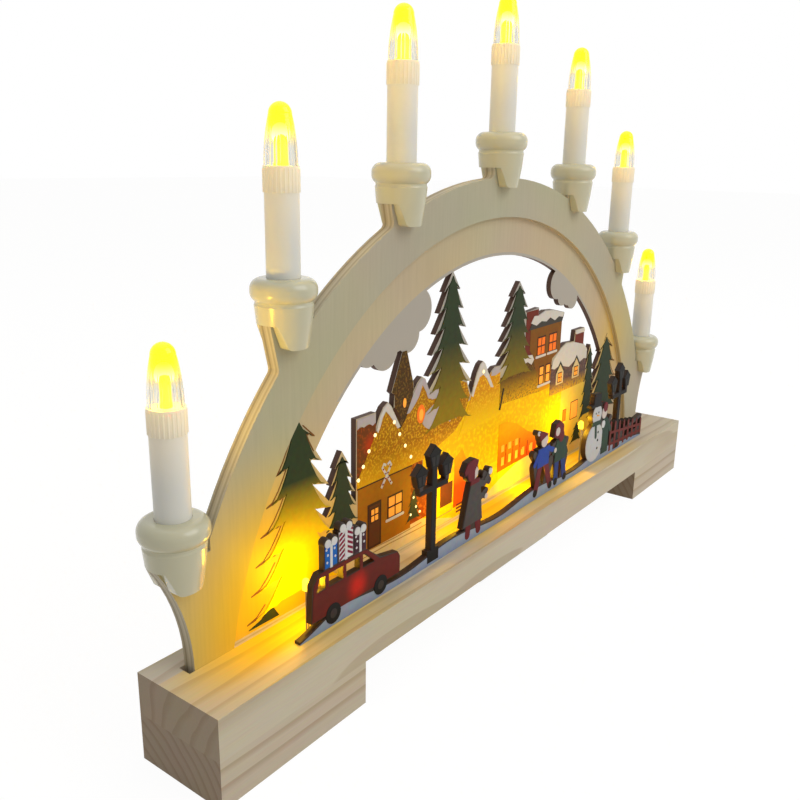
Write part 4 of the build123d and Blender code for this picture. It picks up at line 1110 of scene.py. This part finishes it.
@dataclass
class FigurePrint:
    """The figures printed on the front strip."""

    sheet: PrintSheet = field(default_factory=lambda: PrintSheet("figure", -12.5, "figure_plywood"))
    strip_length: float = 348.0
    figure_height: float = 60.0
    base_top: float = 38.0
    rim: float = 0.45

    def draw(self) -> None:
        """Draws every figure from left to right."""
        self._snow()
        self._car()
        for place in (-0.2385, 0.374):
            self._lamp(place)
        self._walker()
        self._blue_child()
        self._green_child()
        self._snowman()
        self._fence()

    def _at(self, place: float) -> Callable[[Iterable[Point]], Outline]:
        """Gives a function that turns shares of the figures' height into places on the strip.

        Args:
            place: Place along the strip as a share of its length.

        Returns:
            Function from shares to mm.
        """
        def points(shares: Iterable[Point]) -> Outline:
            """Turns shares into mm."""
            left, scale = place * self.strip_length, self.figure_height
            return [(left + u * scale, self.base_top + v * scale) for u, v in shares]
        return points

    def _shape(self, place: float, ink: Ink, layer: int, shares: Outline, rim: float | None = None) -> None:
        """Adds one patch, in shares of the figures' height, that keeps a scorched rim."""
        self.sheet.add(ink, layer, inset(self._at(place)(shares), self.rim if rim is None else rim))

    def _ball(self, place: float, ink: Ink, layer: int, u: float, v: float, radius: float,
              rim: float = 0.4) -> None:
        """Adds a round patch.

        Args:
            place: Place along the strip.
            ink: Ink of the patch.
            layer: Layer of the patch.
            u: Share across.
            v: Share up.
            radius: Share of the figures' height.
            rim: Width of the scorched rim in mm.
        """
        (x, z), = self._at(place)([(u, v)])
        half = radius * self.figure_height - rim
        self.sheet.add(ink, layer, oval(x, z, half, half, 20))

    def _limb(self, place: float, ink: Ink, layer: int, limb: Limb) -> None:
        """Adds a round-ended patch.

        Args:
            place: Place along the strip.
            ink: Ink of the patch.
            layer: Layer of the patch.
            limb: Two ends and a width, as shares of the figures' height.
        """
        u0, v0, u1, v1, width = limb
        (x0, z0), (x1, z1) = self._at(place)([(u0, v0), (u1, v1)])
        self.sheet.add(ink, layer, capsule(x0, z0, x1, z1, width * self.figure_height - 2 * self.rim))

    def _snow(self) -> None:
        """Draws the snow along the foot of the strip."""
        steps, waves, end_slope = 64, 4, 16
        lowest, height, swell, rim = 0.02, 0.075, 0.03, 0.9
        crest = []
        for step in range(steps + 1):
            along = step / steps
            ends = min(1, min(along, 1 - along) * end_slope)
            rise = lowest + ends * (height + swell * math.sin(2 * math.pi * waves * along))
            crest.append(((along - 0.5) * self.strip_length,
                          self.base_top + self.figure_height * rise - rim))
        foot = [(crest[0][0], self.base_top), (crest[-1][0], self.base_top)]
        self.sheet.add(Ink.ICE, 1, [*foot, *reversed(crest)])

    def _car(self) -> None:
        """Draws the car body round its open windows, its wheels and the presents on its roof."""
        place = -0.397
        self._shape(place, Ink.MAROON, 2, [
            (-0.485, 0.10), (0.485, 0.10), (0.485, 0.24), (0.455, 0.285), (0.25, 0.315), (-0.46, 0.315),
            (-0.475, 0.29)])
        roof = [(-0.40, 0.41), (0.085, 0.41), (0.10, 0.42), (0.08, 0.445), (-0.41, 0.445)]
        self._shape(place, Ink.MAROON, 2, roof, 0.25)
        for left, right in ((-0.345, -0.31), (-0.165, -0.13), (0.015, 0.05)):
            self._shape(place, Ink.MAROON, 2, rectangle(left, 0.30, right, 0.43), 0.15)
        rear = [(-0.47, 0.30), (-0.43, 0.30), (-0.40, 0.41), (-0.41, 0.44), (-0.465, 0.375)]
        self._shape(place, Ink.MAROON, 2, rear, 0.3)
        self._shape(place, Ink.MAROON, 2, [(0.19, 0.30), (0.26, 0.30), (0.09, 0.44), (0.075, 0.41)], 0.2)
        for u in (-0.27, 0.25):
            self._ball(place, Ink.BLACK, 4, u, 0.095, 0.078, 0.1)
            self._ball(place, Ink.HUB, 5, u, 0.095, 0.035, 0.0)
        self._present(place, Ink.BLUE, -0.355, -0.22, 0.62)
        self._present(place, Ink.WHITE, -0.215, -0.055, 0.68)
        self._present(place, Ink.PLUM, -0.05, 0.085, 0.605)

    def _present(self, place: float, ink: Ink, left: float, right: float, top: float) -> None:
        """Draws one present on the car's roof, striped if it is white and dotted if not.

        Args:
            place: Place of the car along the strip.
            ink: Ink of the wrapping.
            left: Share across of the left side.
            right: Share across of the right side.
            top: Share up of the top.
        """
        roof, rise, half_band, gap = 0.45, 0.045, 0.012, 0.014
        middle = (left + right) / 2
        self._shape(place, ink, 2, rectangle(left, roof, right, top))
        if ink is Ink.WHITE:
            halves = ((left + 0.01, middle - gap, rise), (middle + gap, right - 0.01, -rise))
            for row in range(6):
                low = 0.452 + row * rise * 0.82
                for a, b, lift in halves:
                    start = low if lift > 0 else low + rise
                    end = start + lift * 0.7
                    stripe = [(a, start), (b, end), (b, end + 0.02), (a, start + 0.02)]
                    self._shape(place, Ink.STRIPE, 3, stripe, 0.0)
        else:
            for a, b in ((0.2, 0.25), (0.8, 0.4), (0.25, 0.6), (0.75, 0.8), (0.15, 0.88)):
                u, v = left + (right - left) * a, 0.46 + (top - 0.47) * b
                self._ball(place, Ink.WHITE, 3, u, v, 0.009, 0.0)
        self._shape(place, Ink.WHITE, 4, rectangle(middle - half_band, roof, middle + half_band, top), 0.0)
        for side in (-1, 1):
            self._ball(place, Ink.WHITE, 4, middle + side * 0.032, top + 0.012, 0.036, 0.35)

    def _lamp(self, place: float) -> None:
        """Draws one street lamp.

        Args:
            place: Place along the strip.
        """
        for half, low, high in ((0.08, 0.02, 0.13), (0.035, 0.10, 0.86)):
            self._shape(place, Ink.BLACK, 2, rectangle(-half, low, half, high), 0.2)
        self._shape(place, Ink.BLACK, 2, rectangle(-0.19, 0.63, 0.19, 0.675), 0.2)
        for u, v in ((0.0, 0.82), (-0.175, 0.705), (0.175, 0.705)):
            lantern = [
                (-0.045, 0.0), (0.045, 0.0), (0.075, 0.105), (0.09, 0.11), (0.02, 0.165), (0.0, 0.185),
                (-0.02, 0.165), (-0.09, 0.11), (-0.075, 0.105)]
            self._shape(place, Ink.BLACK, 3, [(u + a, v + b) for a, b in lantern], 0.2)
            for side in (-1, 1):
                self._shape(place, Ink.GLASS, 4, [
                    (u + side * 0.006, v + 0.015), (u + side * 0.034, v + 0.015),
                    (u + side * 0.056, v + 0.09), (u + side * 0.006, v + 0.09)], 0.0)

    def _walker(self) -> None:
        """Draws the walker with a raised arm."""
        place = -0.129
        for limb in ((-0.12, 0.16, -0.13, 0.06, 0.09), (0.02, 0.16, 0.04, 0.06, 0.09)):
            self._limb(place, Ink.HAT, 2, limb)
        self._shape(place, Ink.GREY_COAT, 3, [
            (-0.215, 0.14), (0.10, 0.14), (0.05, 0.52), (-0.10, 0.54), (-0.13, 0.45)])
        for limb in ((0.0, 0.49, 0.11, 0.46, 0.07), (0.11, 0.46, 0.19, 0.54, 0.065),
                     (0.02, 0.38, 0.15, 0.33, 0.06)):
            self._limb(place, Ink.GREY_COAT, 3, limb)
        self._ball(place, Ink.HAT, 4, -0.08, 0.61, 0.085)
        self._shape(place, Ink.HAT, 5, [
            (-0.20, 0.60), (-0.01, 0.66), (0.01, 0.70), (-0.06, 0.735), (-0.17, 0.72), (-0.22, 0.65)])
        self._shape(place, Ink.SKIN, 5, [
            (-0.055, 0.545), (-0.01, 0.57), (0.0, 0.62), (-0.03, 0.655), (-0.055, 0.62)], 0.1)
        self._shape(place, Ink.HAT, 5, [(-0.12, 0.50), (0.02, 0.50), (0.03, 0.54), (-0.11, 0.55)], 0.2)
        self._ball(place, Ink.WHITE, 5, 0.20, 0.545, 0.036)
        self._ball(place, Ink.SKIN, 5, 0.145, 0.333, 0.026, 0.1)

    def _blue_child(self) -> None:
        """Draws the child in the blue coat."""
        place = 0.075
        for limb in ((-0.06, 0.32, -0.13, 0.07, 0.10), (0.05, 0.32, 0.16, 0.07, 0.10)):
            self._limb(place, Ink.HAT, 2, limb)
        for u in (-0.135, 0.165):
            self._ball(place, Ink.BLACK, 3, u, 0.065, 0.045)
        self._shape(place, Ink.BLUE_COAT, 3, [(-0.13, 0.30), (0.11, 0.30), (0.12, 0.50), (-0.12, 0.50)])
        for limb in ((-0.08, 0.46, -0.17, 0.36, 0.07), (0.10, 0.46, 0.24, 0.40, 0.065)):
            self._limb(place, Ink.BLUE_COAT, 3, limb)
        self._ball(place, Ink.SKIN, 4, 0.0, 0.56, 0.068)
        self._shape(place, Ink.HAT, 5, [(-0.085, 0.57), (0.075, 0.615), (-0.02, 0.655), (-0.13, 0.67)], 0.2)
        self._ball(place, Ink.WHITE, 5, -0.125, 0.66, 0.026, 0.2)
        self._ball(place, Ink.SKIN, 4, 0.235, 0.402, 0.027, 0.1)

    def _green_child(self) -> None:
        """Draws the child in the green coat."""
        place = 0.135
        for limb in ((-0.06, 0.28, -0.07, 0.07, 0.10), (0.06, 0.28, 0.12, 0.07, 0.10)):
            self._limb(place, Ink.NAVY, 2, limb)
        for u in (-0.07, 0.125):
            self._ball(place, Ink.BLACK, 3, u, 0.065, 0.045)
        self._shape(place, Ink.GREEN_COAT, 3, [(-0.13, 0.26), (0.13, 0.26), (0.10, 0.50), (-0.10, 0.50)])
        for limb in ((-0.07, 0.45, -0.15, 0.38, 0.065), (0.07, 0.45, 0.14, 0.32, 0.065)):
            self._limb(place, Ink.GREEN_COAT, 3, limb)
        self._ball(place, Ink.HAT, 4, -0.06, 0.585, 0.08)
        self._shape(place, Ink.HAT, 4, [
            (-0.16, 0.54), (0.05, 0.50), (0.05, 0.63), (-0.04, 0.69), (-0.13, 0.67)])
        self._ball(place, Ink.SKIN, 5, -0.085, 0.585, 0.045, 0.1)
        self._ball(place, Ink.HAT, 5, 0.0, 0.515, 0.06)

    def _snowman(self) -> None:
        """Draws the snowman and the small child beside it."""
        place = 0.276
        self._ball(place, Ink.SNOWMAN, 3, -0.02, 0.24, 0.215)
        self._ball(place, Ink.SNOWMAN, 4, 0.0, 0.545, 0.115)
        self._shape(place, Ink.BLACK, 5, [
            (-0.155, 0.64), (0.11, 0.62), (0.115, 0.65), (0.065, 0.66), (0.075, 0.77), (-0.095, 0.79),
            (-0.105, 0.675), (-0.155, 0.67)], 0.2)
        self._limb(place, Ink.GREEN_COAT, 5, (-0.085, 0.455, 0.085, 0.445, 0.065))
        self._limb(place, Ink.GREEN_COAT, 5, (-0.02, 0.44, 0.0, 0.30, 0.06))
        for v in (0.34, 0.25, 0.16):
            self._ball(place, Ink.BLACK, 5, 0.055, v, 0.014, 0.0)
        for u, v in ((-0.035, 0.565), (0.03, 0.565)):
            self._ball(place, Ink.BLACK, 5, u, v, 0.011, 0.0)
        self._shape(place, Ink.ORANGE_WALL, 5, [(-0.01, 0.53), (0.07, 0.52), (-0.005, 0.55)], 0.0)
        self._shape(place, Ink.GREEN_COAT, 4, [
            (0.16, 0.05), (0.34, 0.05), (0.34, 0.28), (0.28, 0.46), (0.16, 0.48)])
        self._limb(place, Ink.GREEN_COAT, 5, (0.26, 0.43, 0.37, 0.30, 0.07))
        self._ball(place, Ink.SKIN, 5, 0.185, 0.525, 0.07)
        self._ball(place, Ink.HAT, 6, 0.205, 0.585, 0.06)
        self._ball(place, Ink.WHITE, 6, 0.175, 0.40, 0.045, 0.2)

    def _fence(self) -> None:
        """Draws the picket fence that falls to the right."""
        start, end, tall, low = 0.345, 0.495, 0.36, 0.20
        half = 0.0275
        for picket in range(8):
            along = picket / 7
            place = start + (end - start) * along
            top = tall + (low - tall) * along
            self._shape(place, Ink.FENCE, 2, [
                (-half, 0.03), (half, 0.03), (half, top), (0, top + half), (-half, top)], 0.3)
        for level in (0.30, 0.68):
            (x0, z0), = self._at(start)([(0, tall * level)])
            (x1, z1), = self._at(end)([(0, low * level)])
            self.sheet.add(Ink.FENCE, 3, capsule(x0, z0, x1, z1, 0.04 * self.figure_height - 0.7))


@dataclass
class Base:
    """Pine beam with its two feet and dowels."""

    feet: tuple[str, str] = ("left_foot", "right_foot")

    def dress(self) -> None:
        """Gives the base its pine."""
        dress_node("base_beam", PINE_BEAM.material())
        foot = PINE_FOOT.material()
        for node in self.feet:
            dress_node(node, foot)
        dress_node("foot_dowels", BEECH.material())


@dataclass
class Boards:
    """The arch's two plywood layers and the figure strip, with their prints."""

    village: VillagePrint = field(default_factory=VillagePrint)
    figures: FigurePrint = field(default_factory=FigurePrint)

    def dress(self) -> None:
        """Gives the boards their plywood."""
        dress_node("arch_plate", ARCH_PLY.material())
        dress_node("scene_board", SCENE_PLY.material())
        dress_node("figure_strip", STRIP_PLY.material())

    def build(self) -> None:
        """Draws and models the prints."""
        for drawing in (self.village, self.figures):
            drawing.draw()
            drawing.sheet.build()


@dataclass
class Candles:
    """The seven cups, shafts and plug-in lamps."""

    count: int = 7
    shaft_white: str = "#E3E1D8"
    collar_white: str = "#EEE6D2"
    cap_clear: str = "#F0F0EA"
    shaft_painted_glow_from: float = 0.5
    collar_painted_glow_mm: Pair = (-6.0, 9.0)
    cap_light: Pair = (0.25, 0.75)
    warm: str = "#FFD67A"
    flame: str = "#FFDC10"
    lamp_light: str = "#FFD23C"
    lamp_watts: float = 0.075
    light_radius_mm: float = 5.0

    def dress(self) -> None:
        """Gives each candle its plastics and puts a small lamp in its cap."""
        cup = IVORY_CUP.material()
        lens = LAMP_LENS.material()
        dress_node("lamp_sockets", SOCKET_ABS.material())
        for number in range(1, self.count + 1):
            low, high = (corner.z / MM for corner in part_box(f"candle_shaft_{number}"))
            # Shaft and collar get a painted warm glow that rises towards the bulb.
            shaft = PlasticFinish(f"satin_white_shaft_{number}", self.shaft_white, roughness=0.42,
                                  inside=0.15, warm=self.warm,
                                  painted_glow_from_mm=low + self.shaft_painted_glow_from * (high - low), painted_glow_to_mm=high,
                                  painted_glow_strength=0.12)
            start, end = (high + reach for reach in self.collar_painted_glow_mm)
            collar = PlasticFinish(f"translucent_collar_{number}", self.collar_white, roughness=0.3,
                                   inside=0.2, warm=self.warm, painted_glow_from_mm=start, painted_glow_to_mm=end,
                                   painted_glow_strength=0.2)
            foot, tip = (corner.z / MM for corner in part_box(f"flame_cap_{number}"))
            start, end = (foot + share * (tip - foot) for share in self.cap_light)
            cap = ClearFinish(f"clear_flame_acrylic_{number}", self.cap_clear, self.flame, start, end, 0.22)
            dress_node(f"candle_cup_{number}", cup)
            dress_node(f"candle_shaft_{number}", shaft.material())
            dress_node(f"bulb_collar_{number}", collar.material())
            dress_node(f"flame_cap_{number}", cap.material()).visible_shadow = False
            dress_node(f"bulb_led_{number}", lens).visible_shadow = False
            self._light(number)

    def _light(self, number: int) -> None:
        """Puts a warm lamp inside one flame cap.

        Args:
            number: Number of the candle.
        """
        low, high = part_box(f"flame_cap_{number}")
        middle = (low + high) / 2
        add_lamp(f"flame_light_{number}", middle, self.lamp_watts, self.lamp_light, self.light_radius_mm)


@dataclass
class SceneLights:
    """Small LEDs behind the figures, with the leads that feed them and the candles."""

    spots_mm: tuple[Triple, ...] = (
        (-160.0, -5.5, 57.0), (-47.7, -6.2, 56.0), (28.0, -6.2, 45.0), (83.7, -6.2, 66.0))
    watts: tuple[float, ...] = (0.045, 0.036, 0.045, 0.036)
    light: str = "#FFC81E"
    radius_mm: float = 2.0

    def dress(self) -> None:
        """Gives the LEDs and leads their finishes and lights the scene."""
        dress_node("scene_leds", SCENE_LENS.material()).visible_shadow = False
        dress_node("scene_leads", BUFF_SLEEVE.material())
        dress_node("candle_leads", WHITE_SLEEVE.material())
        for number, (spot, watts) in enumerate(zip(self.spots_mm, self.watts), start=1):
            place = [c * MM for c in spot]
            add_lamp(f"scene_light_{number}", place, watts, self.light, self.radius_mm)


@dataclass
class BatteryBox:
    """Battery box under the beam with its cover, cells, contacts and switch."""

    def dress(self) -> None:
        """Gives the box and what is in it their finishes."""
        box = BOX_ABS.material()
        cell = CELL_WRAP.material()
        nickel = NICKEL.material()
        black = SWITCH_ABS.material()
        for node, material in [
            ("battery_box", box), ("battery_cover", box), ("battery_cell_1", cell),
            ("battery_cell_2", cell), ("bridge_contact", nickel), ("terminal_contacts", nickel),
            ("switch_body", black), ("switch_slider", black), ("circuit_board", CIRCUIT_MASK.material()),
            ("box_screws", ZINC.material()),
        ]:
            dress_node(node, material)


@dataclass
class Studio:
    """Pale floor, soft light and the camera at the photograph's place."""

    floor_size: float = 14.0
    floor_colour: str = "#E4E2DE"
    white: Colour = (1.0, 1.0, 1.0, 1.0)
    white_share: float = 0.88
    white_strength: float = 1.07
    ambient: float = 0.42
    key_watts: float = 9.0
    key_place: Triple = (0.35, -1.15, 1.05)
    key_size: float = 1.1
    top_watts: float = 3.0
    top_place: Triple = (0.0, 0.1, 1.5)
    top_size: float = 1.4
    aim: Triple = (0.0, 0.0, 0.12)
    paper_roughness: float = 0.9
    paper_specular: float = 0.1
    sensor_mm: float = 36.0
    clip: Pair = (0.01, 50.0)
    camera_mm: Triple = (-386.22, -220.13, 224.63)
    azimuth: float = -52.977
    elevation: float = 16.016
    roll: float = 0.954
    focal_px: float = 843.13
    image_px: int = 800

    def build(self) -> None:
        """Builds the floor, the lights, the world and the camera."""
        bpy.context.scene.view_settings.view_transform = "Standard"
        self._floor()
        self._world()
        self._area("key_light", self.key_place, self.key_watts, self.key_size)
        self._area("top_light", self.top_place, self.top_watts, self.top_size)
        self._camera()

    def _seen(self, tree: NodeTree) -> NodeSocket:
        """Socket that is 1 where the background is seen, directly, in gloss or through glass.

        Args:
            tree: Node tree of the floor or the world.

        Returns:
            The socket.
        """
        path = add_node(tree, "ShaderNodeLightPath").outputs
        direct = calc(tree, "MAXIMUM", path["Is Camera Ray"], path["Is Glossy Ray"])
        return calc(tree, "MAXIMUM", direct, path["Is Transmission Ray"])

    def _floor(self) -> None:
        """Lays the floor that the feet stand on."""
        deselect()
        bpy.ops.mesh.primitive_plane_add(size=self.floor_size)
        floor = bpy.context.object
        floor.name = "studio_floor"
        material, tree, shader = new_material("matt_studio_paper")
        feed(tree, shader, {"Base Color": linear(self.floor_colour), "Roughness": self.paper_roughness,
                            "Specular IOR Level": self.paper_specular})
        white = add_node(tree, "ShaderNodeEmission", {"Color": self.white, "Strength": self.white_strength})
        share = calc(tree, "MULTIPLY", self._seen(tree), self.white_share)
        both = add_node(tree, "ShaderNodeMixShader", {0: share, 1: shader.outputs[0], 2: white.outputs[0]})
        tree.links.new(both.outputs[0], tree.nodes["Material Output"].inputs["Surface"])
        floor.data.materials.append(material)

    def _world(self) -> None:
        """Sets the white surroundings and their soft light."""
        world = bpy.data.worlds.new("studio_world")
        world.use_nodes = True
        bpy.context.scene.world = world
        tree = world.node_tree
        strength = spread(tree, self._seen(tree), 0.0, 1.0, self.ambient)
        feed(tree, tree.nodes["Background"], {"Color": self.white, "Strength": strength})

    def _area(self, name: str, place: Triple, watts: float, size: float) -> None:
        """Adds a soft square lamp that points at the arch.

        Args:
            name: Name of the lamp.
            place: Place in metres.
            watts: Power.
            size: Side in metres.
        """
        deselect()
        bpy.ops.object.light_add(type="AREA", location=place)
        lamp = bpy.context.object
        lamp.name = name
        lamp.data.energy = watts
        lamp.data.size = size
        lamp.rotation_euler = (Vector(self.aim) - Vector(place)).to_track_quat("-Z", "Y").to_euler()

    def _camera(self) -> None:
        """Places the camera."""
        turn, rise, roll = (math.radians(angle) for angle in (self.azimuth, self.elevation, self.roll))
        back = Vector((math.sin(turn) * math.cos(rise), -math.cos(turn) * math.cos(rise), math.sin(rise)))
        right = (-back).cross(Vector((0, 0, 1))).normalized()
        up = right.cross(-back)
        tilted = right * math.cos(roll) + up * math.sin(roll)
        upward = up * math.cos(roll) - right * math.sin(roll)
        deselect()
        bpy.ops.object.camera_add()
        camera = bpy.context.object
        camera.name = "photo_camera"
        matrix = Matrix((tilted, upward, back)).transposed().to_4x4()
        matrix.translation = Vector(self.camera_mm) * MM
        camera.matrix_world = matrix
        camera.data.sensor_width = self.sensor_mm
        camera.data.lens = self.focal_px / self.image_px * self.sensor_mm
        camera.data.clip_start, camera.data.clip_end = self.clip
        bpy.context.scene.camera = camera


def main() -> None:
    """Builds and dresses the candle arch in order."""
    logging.basicConfig(level=logging.INFO, format="%(message)s")
    Studio().build()
    Base().dress()
    boards = Boards()
    boards.dress()
    boards.build()
    Candles().dress()
    SceneLights().dress()
    BatteryBox().dress()


if __name__ == "__main__":
    main()
